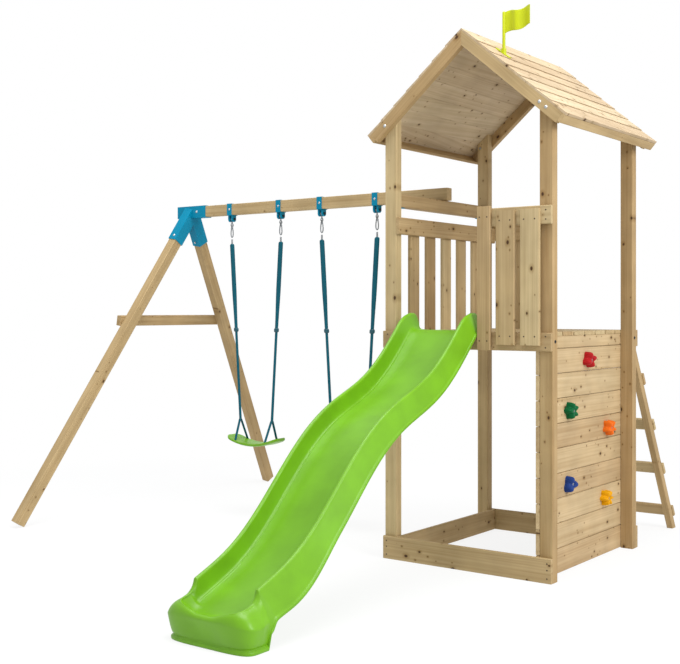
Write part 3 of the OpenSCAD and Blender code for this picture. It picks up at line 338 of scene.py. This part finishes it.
# Base boards
# Planed boards 120 mm high and 20 mm thick, on edge on the ground. They are screwed to the posts at the
# front, left and back, and close in the ground under the deck. The boxes of all the boards are kept for
# the screws.
board_pine = treated_pine("treated_pine_board", "#c0aa80", "#957c51", knotty=0.34, vary=0.9)
boards = {}
for node in ("base_board_front", "base_board_left", "base_board_back"):
    boards[node] = sawn(node, board_pine)

# Deck
# Eight planed boards laid across three joists, with fascia boards over the joists' ends. The joists are
# bolted through the posts.
for node in ("deck_joists", "deck_boards", "deck_fascia_front", "deck_fascia_back"):
    boards[node] = sawn(node, board_pine)

# Rails, balusters and panels
# Planed boards screwed upright to a top rail and to the deck's edge, with gaps between them: five balusters
# on the left, and a panel of three boards at the front and at the back.
for node in ("left_top_rail", "left_balusters", "front_panel_rail", "front_panel_boards",
             "back_panel_rail", "back_panel_boards"):
    boards[node] = sawn(node, board_pine)

# Climbing wall
# Nine planed boards and a narrow one at the top, one above the other and close together, screwed to the
# inner faces of the right posts. They are paler and more knotty than the posts.
wall_pine = treated_pine("treated_pine_wall", "#c8b088", "#9d8156", knotty=0.42, vary=0.5)
sawn("climbing_wall_boards", wall_pine)

# Roof
# Two pairs of rafters, bolted to the posts, carry lapped feather-edge boards, with a board along each eave.
# The roof boards are thin, pale and full of knots.
roof_pine = treated_pine("treated_pine_roof", "#c5b192", "#9a835f", knotty=0.5, vary=0.5)
for node in ("rafter_front_left", "rafter_front_right", "rafter_back_left", "rafter_back_right",
             "eave_board_left", "eave_board_right"):
    sawn(node, post_pine)
for node in ("roof_boards_left", "roof_boards_right"):
    sawn(node, roof_pine)

# Ladder
# Two pine stiles, cut at top and foot to lean against the deck, with flat rungs screwed across their backs.
# They are planed like the posts.
for node in ("ladder_stiles", "ladder_rungs"):
    sawn(node, post_pine)

# Swing arm
# A beam from the tower to an A-frame of two legs and a cross brace, all of the posts' pine. The legs are cut
# square at the foot, so that they stand on one edge.
for node in ("beam_rail", "swing_beam", "leg_front", "leg_back", "a_frame_brace"):
    sawn(node, post_pine, square_foot=node.startswith("leg"))


# Steel brackets
# Folded steel plates with a thick blue powder coat, which rounds their edges and has a faint orange peel.
# They join the beam's rail to the tower and the beam to the A-frame, and carry the swings' pivots.
def plain(name, colour, roughness, metallic=0.0, grit_mm=1.0, relief=0.1, spread=0.06, shine=0.5):
    """A moulded or coated surface: one colour that drifts a little, with fine grit in its gloss and bump."""
    material = bpy.data.materials.new(name)
    material.use_nodes = True
    tree = material.node_tree
    shader = tree.nodes["Principled BSDF"]
    place = add(tree, "ShaderNodeTexCoord")
    grit = add(tree, "ShaderNodeTexNoise", {"Vector": place.outputs["Object"], "Scale": 1000 / grit_mm,
                                            "Detail": 2.0})
    cloud = add(tree, "ShaderNodeTexNoise", {"Vector": place.outputs["Object"], "Scale": 7.0, "Detail": 3.0})
    drift = add(tree, "ShaderNodeMapRange", {"Value": cloud.outputs["Fac"], "From Min": 0.3, "From Max": 0.7,
                                             "To Min": 1 - spread, "To Max": 1 + spread})
    colour = add(tree, "ShaderNodeHueSaturation", {"Color": linear(colour), "Value": drift.outputs[0]})
    tree.links.new(colour.outputs[0], shader.inputs["Base Color"])
    gloss = add(tree, "ShaderNodeMapRange", {"Value": grit.outputs["Fac"], "From Min": 0.3, "From Max": 0.7,
                                             "To Min": roughness - 0.06, "To Max": roughness + 0.06})
    tree.links.new(gloss.outputs[0], shader.inputs["Roughness"])
    bump = add(tree, "ShaderNodeBump", {"Height": grit.outputs["Fac"], "Strength": relief,
                                        "Distance": grit_mm / 4000})
    tree.links.new(bump.outputs[0], shader.inputs["Normal"])
    shader.inputs["Metallic"].default_value = metallic
    shader.inputs["Specular IOR Level"].default_value = shine
    return material


def dress(material, *names):
    """Gives CAD nodes a material in place of their own."""
    for name in names:
        nodes[name].data.materials.clear()
        nodes[name].data.materials.append(material)


powder_coat = plain("blue_powder_coat", "#037f9f", 0.45, grit_mm=2.5, relief=0.15, shine=0.12)
dress(powder_coat, "beam_rail_brackets", "a_frame_connector", "beam_brackets")

# Bolts
# Carriage bolts through the rafters, the brackets and the connector, plated with zinc, which gives a soft
# grey shine. The deck bolts and the swings' pivot pins are blackened, which leaves them nearly matt.
zinc = plain("zinc_plate", "#b4b7ba", 0.38, metallic=1.0, grit_mm=1.5)
black = plain("blackened_steel", "#1c1c1e", 0.5, metallic=0.6)
dress(zinc, "rafter_bolts", "connector_bolts", "bracket_bolts")
dress(black, "deck_bolts", "pivot_pins")


# Climbing holds
# Five holds of cast resin, lobed like a fist, each with a sunk seat in the middle for its bolt. Sand in the
# resin gives them a rough grip and hardly any shine.
def from_tower(points):
    """Millimetres in the tower's own axes as metres in the part's."""
    return np.asarray(points, float) / 1000 + (tower_x, tower_y, 0)


def put_grids(name, grids, material, body, replaced):
    """One piece from grids of points, each an array of rows by columns by three that joins its last column to
    its first. The first and last rows are closed by flat caps, unless they meet or lie in a line, and points
    in the same place are merged. A piece with no node of its own replaces none."""
    points, faces, start = [], [], 0
    for grid in grids:
        lines, columns = grid.shape[:2]
        row, column = np.mgrid[0:lines - 1, 0:columns]
        after = (column + 1) % columns
        corners = (row * columns + column, row * columns + after,
                   (row + 1) * columns + after, (row + 1) * columns + column)
        faces += (np.stack(corners, -1).reshape(-1, 4) + start).tolist()
        for end, way in ((0, -1), (lines - 1, 1)):
            ring = grid[end] - grid[end].mean(0)
            open_area = np.linalg.norm(np.cross(ring, np.roll(ring, -1, 0)).sum(0)) / 2
            if open_area > 1e-9 and not np.allclose(grid[0], grid[-1]):
                faces.append((np.arange(columns)[::way] + end * columns + start).tolist())
        points.append(grid.reshape(-1, 3))
        start += lines * columns
    piece = put_mesh(name, np.concatenate(points), faces)
    shell = bmesh.new()
    shell.from_mesh(piece.data)
    bmesh.ops.remove_doubles(shell, verts=shell.verts, dist=1e-6)
    shell.to_mesh(piece.data)
    shell.free()
    piece.data.set_sharp_from_angle(angle=math.radians(50))
    piece.data.materials.append(material)
    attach(piece, body)
    if replaced:
        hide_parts(replaced)


def round_rod(middle, profile, sides=24):
    """A turned shape along +X: rings of the given (height, radius) in millimetres round a middle point."""
    a = np.linspace(0, 2 * np.pi, sides, endpoint=False)
    height, radius = np.asarray(profile, float).T[:, :, None]
    ring = np.stack(np.broadcast_arrays(height, radius * np.cos(a), radius * np.sin(a)), -1)
    return from_tower(middle + ring)


def lobed(middle, lobes, turn):
    """A lobed dome on a wall that faces +X. At the angle a and the share t of the way from rim to top, its
    radius is 37 (1 + 0.2 cos(lobes (a - turn)) - 0.08 cos(a - turn)) cos(90 t)^0.5, a tenth more across, and
    its height is 40 sin(90 t)^0.7, with swells over the lobes and a round seat sunk in the middle."""
    a, t = np.meshgrid(np.linspace(0, 2 * np.pi, 96, endpoint=False), np.linspace(0, 0.995, 40))
    lobe = lobes * (a - turn)
    rim = 1 + 0.2 * np.cos(lobe) - 0.08 * np.cos(a - turn) + 0.03 * np.sin(2 * a + lobes)
    out = 37 * rim * np.cos(np.pi / 2 * t) ** 0.5
    high = 40 * (np.sin(np.pi / 2 * t) ** 0.7 + 0.2 * np.cos(lobe) * np.sin(np.pi * t) ** 2)
    high = high - 12 * np.exp(-(out / 12.5) ** 4)
    return from_tower(np.stack([middle[0] + high, middle[1] + 1.1 * out * np.sin(a),
                                middle[2] - out * np.cos(a)], -1))


WALL_FACE, BOARD_PITCH, TOWER_DEPTH = 415.0, 124.0, 1030.0
HOLD_SINK = 5.0
BOLT_PROFILE = [(-28, 3.9), (24, 3.9), (24, 8), (30, 8), (31.5, 7), (31.5, 4), (28, 3)]
bolt_heads = []
# Colour, how far across the wall, how many boards up, number of lobes and turn in degrees
for colour, value, across, board, lobes, turn in (
        ("red", "#a81d20", 0.52, 8, 4, 20), ("green", "#0a5c33", 0.31, 6, 5, 50),
        ("orange", "#d9661a", 0.765, 5, 5, 0), ("blue", "#213a78", 0.30, 3.05, 3, 200),
        ("yellow", "#d99a08", 0.73, 2, 6, 30)):
    middle = np.array([WALL_FACE, across * TOWER_DEPTH, (board + 0.5) * BOARD_PITCH - HOLD_SINK])
    put_grids("hold_" + colour + "_resin", [lobed(middle, lobes, math.radians(turn))],
              plain(colour + "_hold_resin", value, 0.45, grit_mm=2.0, relief=0.25, shine=0.1), "frame",
              "hold_" + colour)
    bolt_heads.append(round_rod(middle, BOLT_PROFILE))
put_grids("hold_bolts_zinc", bolt_heads, zinc, "frame", "hold_bolts")


# Screws
# Flat-headed steel screws, browned by the treatment and driven flush: two at each end of every upright board,
# three at each end of the front and back base boards, two at each end of the fascias, and two at one end of
# each panel rail.
def screw_heads(low, high, shares, facing):
    """Heads 8 mm wide that stand 0.4 mm out of a board from low to high, on the face that looks along facing.
    The shares are how far across and up the face each head is, from 0 to 1."""
    facing = np.asarray(facing, float)
    a = np.linspace(0, 2 * np.pi, 12, endpoint=False)[:, None]
    height, radius = np.array([(-1, 4), (0.2, 4), (0.4, 3)]).T[:, :, None, None] / 1000
    upward = np.array((0.0, 0.0, 1.0))
    head = height * facing + radius * (np.cos(a) * np.cross(upward, facing) + np.sin(a) * upward)
    middle, reach = (low + high) / 2, (high - low) / 2
    sideways = np.abs(np.cross(upward, facing))
    return [middle + reach * (facing + (2 * across - 1) * sideways + (2 * up - 1) * upward) + head
            for across, up in shares]


FRONT, BACK, LEFT = (0, -1, 0), (0, 1, 0), (-1, 0, 0)
UPRIGHT = [(across, up) for across in (0.21, 0.77) for up in (0.065, 0.925)]
POST_ENDS = {"base_board": [(end, up) for end in (0.022, 0.978) for up in (0.2, 0.54, 0.8)],
             "deck_fascia": [(end, up) for end in (0.03, 0.97) for up in (0.2, 0.8)]}
heads = []
for side, facing in (("front", FRONT), ("back", BACK)):
    for name, shares in POST_ENDS.items():
        heads += screw_heads(*boards[name + "_" + side][0], shares, facing)
    for low, high in boards[side + "_panel_boards"]:
        heads += screw_heads(low, high, UPRIGHT, facing)
for low, high in boards["left_balusters"]:
    heads += screw_heads(low, high, UPRIGHT, LEFT)
heads += screw_heads(*boards["front_panel_rail"][0], [(0.93, 0.25), (0.93, 0.75)], FRONT)
heads += screw_heads(*boards["back_panel_rail"][0], [(0.07, 0.25), (0.07, 0.75)], BACK)
put_grids("screws_steel", heads, plain("browned_screw_steel", "#4a3a28", 0.5, metallic=0.3), "frame", None)

# Slide
# One hollow polyethylene moulding. Its bed falls in two long waves between steep walls with rolled rims. It
# hooks over the deck's edge between two ears. At the lip the rims fall away round a dish, over a boxed foot
# with a flange.
SLIDE_RUN, SLIDE_TOP, LIP_HEIGHT = 1690.0, 1207.0, 114.0
SLIDE_MIDDLE, SLIDE_HALF, DECK_FACE = -135.0, 224.0, -20.0
RIM_HEIGHT, RIM_ROLL, LEDGE, BED_HALF = 87.0, 11.0, 29.0, 90.0
FOOT_BACK, LIP_BACK, LIP_FLARE, FOOT_HALF = 1597.0, 1640.0, 8.0, 220.0
LIP_AHEAD, CREST_AHEAD, FOOT_AHEAD = 98.0, 84.0, 84.0
CREST_HALF, CREST_TAPER, FRONT_EDGE_HEIGHT, LIP_LEDGE = 182.0, 19.0, 14.0, 24.0
EAR_START, EAR_LENGTH = -75.0, 45.0
RIM_END, RIM_END_DROP, DISH_START = 1582.0, 0.38, 1615.0
SHOULDER_START, SIDE_SHOULDER, BULGE_HEIGHT = 1580.0, 0.4, 112.0
UPRIGHT_START, UPRIGHT_OVER = 1560.0, 60.0
DECK_LAP_THICK, BED_THICK, EDGE_HEIGHT = 7.0, 10.0, 14.0


def ease(t):
    """0 up to t = 0, 1 from t = 1, and 3 t^2 - 2 t^3 between."""
    t = np.clip(t, 0, 1)
    return t * t * (3 - 2 * t)


def slide_bed(along):
    """Height and slope of the bed. The slope goes as 1 + 0.44 cos(360 (y - 45) / 1000), eased in over the
    deck's edge and out at the lip, and its sum is the fall from the deck to the lip."""
    y = np.arange(0, SLIDE_RUN + 1)
    fall = 1 + 0.44 * np.cos(2 * np.pi * (y - 45) / 1000)
    fall = fall * (0.4 + 0.6 * ease(y / 48)) * ease((SLIDE_RUN - y) / 69)
    drop = np.concatenate([[0], np.cumsum(fall[1:] + fall[:-1]) / 2])
    scale = (SLIDE_TOP - LIP_HEIGHT) / drop[-1]
    return np.interp(along, y, SLIDE_TOP - scale * drop), np.interp(along, y, scale * fall * ease(y / 48))


def edge_line(half, ahead):
    """Plan of a line down the slide's right side and round its lip. The side is half from the middle at each
    row. The lip is a superellipse of power 4.3 round the middle at LIP_BACK, as wide as the side and ahead
    long."""
    reach = ((np.cos(turn) / half[-1]) ** 4.3 + (np.sin(turn) / ahead) ** 4.3) ** (-1 / 4.3)
    side, lip = (half, along), (reach * np.cos(turn), LIP_BACK + reach * np.sin(turn))
    return np.concatenate([side, lip], 1).T[:, None]


def rows(side, lip):
    """One value for each row down the side and round the lip, as a column."""
    return np.concatenate([side + 0 * along, lip + 0 * turn])[:, None]


def on_bed(plan, high):
    """Points at places in plan and heights above the bed, measured square to it, and upright at the lip."""
    bed, slope = slide_bed(plan[..., 1])
    slope = slope * (1 - ease((plan[..., 1] - UPRIGHT_START) / UPRIGHT_OVER))
    level = np.sqrt(1 + slope ** 2)
    return np.stack([plan[..., 0], plan[..., 1] + high * slope / level, bed + high / level], -1)


def upright(plan, height):
    """Points at places in plan and heights above the ground."""
    return np.concatenate([plan, height[:, None] + 0 * plan[..., :1]], -1)


# Rows run from the ears down the side to LIP_BACK, then turn round the lip to the middle of its front
along = np.concatenate([
    EAR_START + EAR_LENGTH * (1 - np.cos(np.linspace(0, np.pi / 2, 16))), np.linspace(-27, -1, 10), [0, 0.5],
    np.linspace(3, 60, 24), np.linspace(64, 1590, 280), [FOOT_BACK - 0.1],
    np.linspace(FOOT_BACK, LIP_BACK, 36)])
turn = np.pi / 2 * np.linspace(0, 1, 81)[1:] ** 1.5
half_crest = CREST_HALF - CREST_TAPER * np.clip(along, 0, None) / SLIDE_RUN
crest = edge_line(half_crest, CREST_AHEAD)
out = edge_line(SLIDE_HALF + LIP_FLARE * ease((along - FOOT_BACK) / (LIP_BACK - FOOT_BACK)), LIP_AHEAD)
inner = edge_line(half_crest - LEDGE, CREST_AHEAD - LIP_LEDGE)
flange = edge_line(FOOT_HALF + 0 * along, FOOT_AHEAD)
outward = (out - inner) / np.linalg.norm(out - inner, axis=-1, keepdims=True)

ear = np.clip((along - EAR_START) / EAR_LENGTH, 0, 1)
rim = np.sqrt(ear * (2 - ear)) * (1 - RIM_END_DROP * ease((along - RIM_END) / (LIP_BACK - RIM_END)))
lip_rim = FRONT_EDGE_HEIGHT + (RIM_HEIGHT * rim[-1] - FRONT_EDGE_HEIGHT) * (1 - ease(turn / 1.25))
rim_top = rows(RIM_HEIGHT * rim, lip_rim)
rim = rows(rim, rim[-1])
shoulder = rows(SIDE_SHOULDER * ease((along - SHOULDER_START) / (LIP_BACK - SHOULDER_START)),
                SIDE_SHOULDER + (1 - SIDE_SHOULDER) * ease(turn / 0.9))
dished = rows(ease((along - DISH_START) / (LIP_BACK - DISH_START)), 1)
on_deck, on_foot = out[..., 1] <= 0, out[..., 1] >= FOOT_BACK

# The edge hangs 22 mm below the bed, 57 mm in the last wave and 48 mm at the foot, where a fillet runs down
skirt = 22 + 35 * ease((along - 1150) / 280) - 9 * ease((along - 1440) / 130)
fillet = np.where(along < FOOT_BACK, 32 * ease((along - 1555) / 42) ** 2, 0)
skirt = rows(skirt + fillet, skirt[-1])
side, under = np.where(on_deck, DECK_LAP_THICK, skirt), np.where(on_deck, DECK_LAP_THICK, BED_THICK)
edge = np.where(on_deck, DECK_LAP_THICK, EDGE_HEIGHT)

# Half of the section, from the middle of the underside round the edge, the outer wall, the rim, the inner
# wall with the bead at its foot, and the dish, to the middle of the bed. Over the foot the underside is the
# ground, the edge is the flange, and the outer wall swells out below the lip.
share = np.array([0, 0.2, 0.4, 0.6, 0.8, 0.85, 0.87, 0.92, 0.96, 0.99])
across = np.stack([share, 0 * share + 1], -1)
thin = np.concatenate([
    on_bed(out * across, np.where(share < 0.86, -under, -side)),
    on_bed(out - outward * np.array([0, 0, 0, 0, 1.5, 4])[:, None],
           edge * np.array([0.1, 0.25, 0.5, 0.8, 0.93, 1]) - side)], 1)
foot = np.concatenate([
    upright(flange * across, 0 * share),
    upright(flange - outward * np.array([2, 0, 0, 1.5, 6, 11])[:, None],
            np.array([0, 2.5, 10, 13, 16, 22]))], 1)
base = np.where(on_foot[..., None], foot, thin)

roll = np.radians(np.linspace(12, 168, 15))
roll_size = RIM_ROLL * (1 - 0.9 * shoulder)
over = on_bed(crest + outward * (roll_size * np.cos(roll))[..., None],
              rim_top - roll_size * rim * (1 - np.sin(roll)))

t = np.linspace(0, 1, 27)[1:-1, None]
low, high, top = base[:, -1:], over[:, :1], over[:, 7:8, 2:]
bulge = np.concatenate([out, BULGE_HEIGHT + 0.2 * (top - 130)], -1)
widest = thin[:, -1:] + shoulder[..., None] * (bulge - thin[:, -1:])
tuck = rows(0.6, 0.6 + ease((turn - 0.5) / 0.7))[..., None]
t_low, t_high = np.clip(2 * t, 0, 1), np.clip(2 * t - 1, 0, 1)
draw_low = np.concatenate([t_low ** tuck, t_low ** tuck, t_low + 0 * tuck], -1)
bow, rise = 1 - np.cos(np.pi / 2 * t_high), np.sin(np.pi / 2 * t_high)
draw_high = t_high + shoulder[..., None] * (np.concatenate([bow, bow, rise], -1) - t_high)
wall = low + (widest - low) * draw_low + (high - widest) * draw_high

set_in = np.array([11.6, 12.8, 14.2, 15.8, 17.6, 19.8, 22, 24, 26, 27.5, 29]) / LEDGE
drop = np.array([70, 60, 48, 36, 26, 18, 13, 11.6, 11, 9, 6])
set_in = set_in + dished * (np.linspace(0.09, 1, 11) - set_in)
inner_high = (1 - dished) * rim * drop + dished * rim_top * (1 - 0.394 * set_in) ** 2
inside = on_bed(crest + (inner - crest) * set_in[..., None], inner_high)

t = np.concatenate([np.linspace(1, 0, 11)[1:-1], np.zeros(7)])
flat = rows(BED_HALF / (half_crest - LEDGE), BED_HALF / (half_crest[-1] - LEDGE))
share = (flat + (1 - flat) * t) * np.concatenate([np.ones(9), np.linspace(1, 0, 7)])
dish = on_bed(inner * np.stack([share, 0 * share + 1], -1), inner_high[:, -1:] * t ** 2)

half = np.concatenate([base, wall, over, inside, dish], 1)
moulding = np.concatenate([half, half[:, -2:0:-1] * (-1, 1, 1)], 1)
moulding = moulding * (1, -1, 1) + (SLIDE_MIDDLE, DECK_FACE, 0)

# Moulded polyethylene in lime green: waxy, with a broad soft shine
lime = plain("lime_polyethylene", "#6aa213", 0.36, grit_mm=3.0, shine=0.35, spread=0.1)
put_grids("slide_moulding", [from_tower(moulding)[::-1]], lime, "frame", "slide")

# Flag
# A small flag moulded in polyethylene, a wavy sheet in one piece with its pole, in a cup screwed to the
# right slope of the roof. It is plain yellow-green with a soft shine.
flag_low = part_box("flag")[0]
pole_foot = np.array([flag_low.x + 0.008, float(from_tower((0, 150, 0))[1]), flag_low.z])
a = np.linspace(0, 2 * np.pi, 24, endpoint=False)
pole_z, pole_r = np.array([(0, 8), (199, 8), (203, 7), (205.5, 4.5), (206, 1)]).T[:, :, None]
pole = np.stack(np.broadcast_arrays(pole_r * np.cos(a), pole_r * np.sin(a), pole_z), -1)

# From the pole (t = 0) to the fly (t = 1) the sheet waves as 9 sin(600 t) and lifts as 20 t + 6 sin(500 t).
# Each section is a flat superellipse 4 mm thick.
t = np.linspace(0, 1, 61)[:, None]
edge = np.linspace(0, 2 * np.pi, 40, endpoint=False)
hem = np.sign(np.cos(edge)) * np.abs(np.cos(edge)) ** 0.25
wave = 9 * np.sin(np.radians(600) * t) * np.minimum(1, 3 * t)
lift = 20 * t + 6 * np.sin(np.radians(500) * t)
sheet_x = 4 + 146 * t + 0 * edge
sheet_y = wave + 2 * np.sign(np.sin(edge)) * np.abs(np.sin(edge)) ** 0.6
sheet_z = 92 + lift + 54 + (54 - 6 * t) * hem
sheet_grid = np.stack([sheet_x, sheet_y, sheet_z], -1)
flag_plastic = plain("flag_plastic", "#b3bd0c", 0.4, shine=0.3)
put_grids("flag_moulding", [pole / 1000 + pole_foot, sheet_grid / 1000 + pole_foot], flag_plastic, "frame",
          "flag")
dress(flag_plastic, "flag_base")


# Swings
# Each hangs from two steel eyes by pear-shaped snap hooks. Tubes of woven webbing run down through an
# adjuster and split in two above a curved polyethylene seat.
def oval(path, wide, deep, sides=20):
    """An upright tube: level ovals with the given widths along X and Y round the points of a path."""
    a = np.linspace(0, 2 * np.pi, sides, endpoint=False)
    wide, deep = (np.broadcast_to(size, len(path))[:, None] / 2 for size in (wide, deep))
    return path[:, None] + np.stack([wide * np.cos(a), deep * np.sin(a), 0 * wide * a], -1)


def bent_wire(path, radius, sides=10):
    """A closed loop of wire in a plane square to Y: circles round the points of a path."""
    ahead = np.roll(path, -1, 0) - np.roll(path, 1, 0)
    out = np.cross(ahead, (0, 1, 0)) / np.linalg.norm(ahead, axis=1)[:, None]
    a = np.linspace(0, 2 * np.pi, sides, endpoint=False)
    around = np.cos(a)[:, None] * out[:, None] + np.sin(a)[:, None] * np.array((0, 1, 0))
    loop = path[:, None] + radius * around
    return np.concatenate([loop, loop[:1]])


SWING_Y, HOOK_TOP, HOOK_LENGTH, STRAP_TOP = 515.0, 1857.4, 76.0, 1738.8
PIVOT_HALF, SEAT_STRAP_HALF, SEAT_BOSS_Z, SEAT_Z = 205.0, 125.0, 496.0, 462.0
ADJUSTER_Z, JOINER_Z, STRAND_HALF = 1183.0, 605.0, 62.0
WIRE_RADIUS, LOWER_STRAP, STRAND = 3.5, (20.0, 11.0), (18.0, 8.0)

# Woven polyester, matt with a coarse weave, drawn at 4 mm so that it shows, and smooth moulded nylon
webbing = plain("teal_webbing", "#0a5666", 0.75, grit_mm=4.0, relief=0.5, shine=0.2)
buckle = plain("dark_buckle", "#0b4b58", 0.45)


def strap_x(z):
    """Distance of a strap from the middle of the swing: straight from the seat to the hook."""
    return SEAT_STRAP_HALF + (PIVOT_HALF - SEAT_STRAP_HALF) * (z - SEAT_BOSS_Z) / (STRAP_TOP - SEAT_BOSS_Z)


def line_of(z, y=0.0):
    """Middle line of a strap through the given heights."""
    return np.stack(np.broadcast_arrays(strap_x(z), y, z), -1)


# The hook's wire follows a pear: half its width is 3 + 9.5 sin(a / 2)^1.6 times sin a
a = np.linspace(0, 2 * np.pi, 64, endpoint=False)
pear = np.stack([(3 + 9.5 * np.sin(a / 2) ** 1.6) * np.sin(a), 0 * a,
                 -HOOK_LENGTH / 2 + HOOK_LENGTH / 2 * np.cos(a)], -1)
hook_place = np.array([PIVOT_HALF, 0, 0])
# Galvanised wire, dull grey
wire_steel = plain("galvanised_wire", "#85898c", 0.4, metallic=1.0)
hooks = [bent_wire(pear + (0, 0, HOOK_TOP) + hook_place, WIRE_RADIUS)]
ferrule_z = np.array([STRAP_TOP - 4, STRAP_TOP + 28, STRAP_TOP + 30])
hooks.append(oval(np.stack(np.broadcast_arrays(PIVOT_HALF, 0.0, ferrule_z), -1), np.array([11, 11, 7]),
                  np.array([11, 11, 7])))
collar_z = HOOK_TOP - np.array([13.0, 14, 24, 25])
hooks.append(oval(np.stack(np.broadcast_arrays(PIVOT_HALF + 5.0, 0.0, collar_z), -1), np.array([7, 9, 9, 7]),
                  np.array([7, 9, 9, 7])))

turn_over = np.linspace(0, np.pi / 2, 14)
upper_z = np.concatenate([ADJUSTER_Z + 14 + np.linspace(0, 520, 20),
                          STRAP_TOP - 12 * (1 - np.sin(turn_over))])
upper_w = np.concatenate([24 + 10 * ease(np.linspace(0, 2, 20)), 12 + 22 * np.cos(turn_over)])
lower_z = np.linspace(JOINER_Z + 6, ADJUSTER_Z - 12, 12)
strand_z = np.linspace(SEAT_BOSS_Z - 24, JOINER_Z + 4, 16)
spread = STRAND_HALF + (5 - STRAND_HALF) * (strand_z - strand_z[0]) / (strand_z[-1] - strand_z[0])
straps = [oval(line_of(upper_z), upper_w, 0.6 * upper_w), oval(line_of(lower_z), *LOWER_STRAP)]
straps += [oval(line_of(strand_z, way * spread), *STRAND) for way in (-1, 1)]

knob = np.linspace(-1, 1, 15)
adjuster = oval(line_of(ADJUSTER_Z + 15 * knob), 36 * (1 - 0.96 * knob ** 4) ** 0.5,
                24 * (1 - 0.96 * knob ** 4) ** 0.5)
joiner = oval(line_of(JOINER_Z + 8 * knob), 18 * (1 - 0.9 * knob ** 4) ** 0.5,
              22 * (1 - 0.9 * knob ** 4) ** 0.5)

# The seat bends along an arc with its ends SEAT_SAG above its middle, has round corners and a dished top
SEAT_HALF, SEAT_WIDE, SEAT_THICK, SEAT_SAG, SEAT_CORNER = 202.5, 72.5, 18.0, 44.0, 45.0
seat_bend = (SEAT_HALF ** 2 + SEAT_SAG ** 2) / (2 * SEAT_SAG)
seat_x = SEAT_HALF * np.sin(np.radians(np.linspace(-90, 90, 121)))
corner = np.clip(np.abs(seat_x) - SEAT_HALF + SEAT_CORNER, 0, SEAT_CORNER - 0.01)
seat_half = SEAT_WIDE - SEAT_CORNER + np.sqrt(SEAT_CORNER ** 2 - corner ** 2)
seat_top = SEAT_Z + seat_bend - np.sqrt(seat_bend ** 2 - seat_x ** 2)
a = np.linspace(0, 2 * np.pi, 48, endpoint=False)
across = np.sign(np.cos(a)) * np.abs(np.cos(a)) ** 0.22
through = np.sign(np.sin(a)) * np.abs(np.sin(a)) ** 0.5
dished = 3 * np.abs(across) ** 6
seat_z = seat_top[:, None] - SEAT_THICK / 2 + SEAT_THICK / 2 * through + dished
seat = np.stack(np.broadcast_arrays(seat_x[:, None], seat_half[:, None] * across, seat_z), -1)

for swing, swing_x in (("left_swing", -1835.0), ("right_swing", -1100.0)):
    def both(grids):
        """The same grids on the two sides of this swing."""
        place = np.array([swing_x, SWING_Y, 0])
        return [from_tower(grid[::way] * (way, 1, 1) + place) for grid in grids for way in (1, -1)]

    put_grids(swing + "_hooks_zinc", both(hooks), wire_steel, swing, swing + "_hooks")
    put_grids(swing + "_straps_webbing", both(straps), webbing, swing, swing + "_straps")
    put_grids(swing + "_buckles_plastic", both([adjuster, joiner]), buckle, swing, swing + "_buckles")
    put_grids(swing + "_seat_moulding", [from_tower(seat + (swing_x, SWING_Y, 0))], lime, swing,
              swing + "_seat")
    dress(wire_steel, swing + "_eyes")
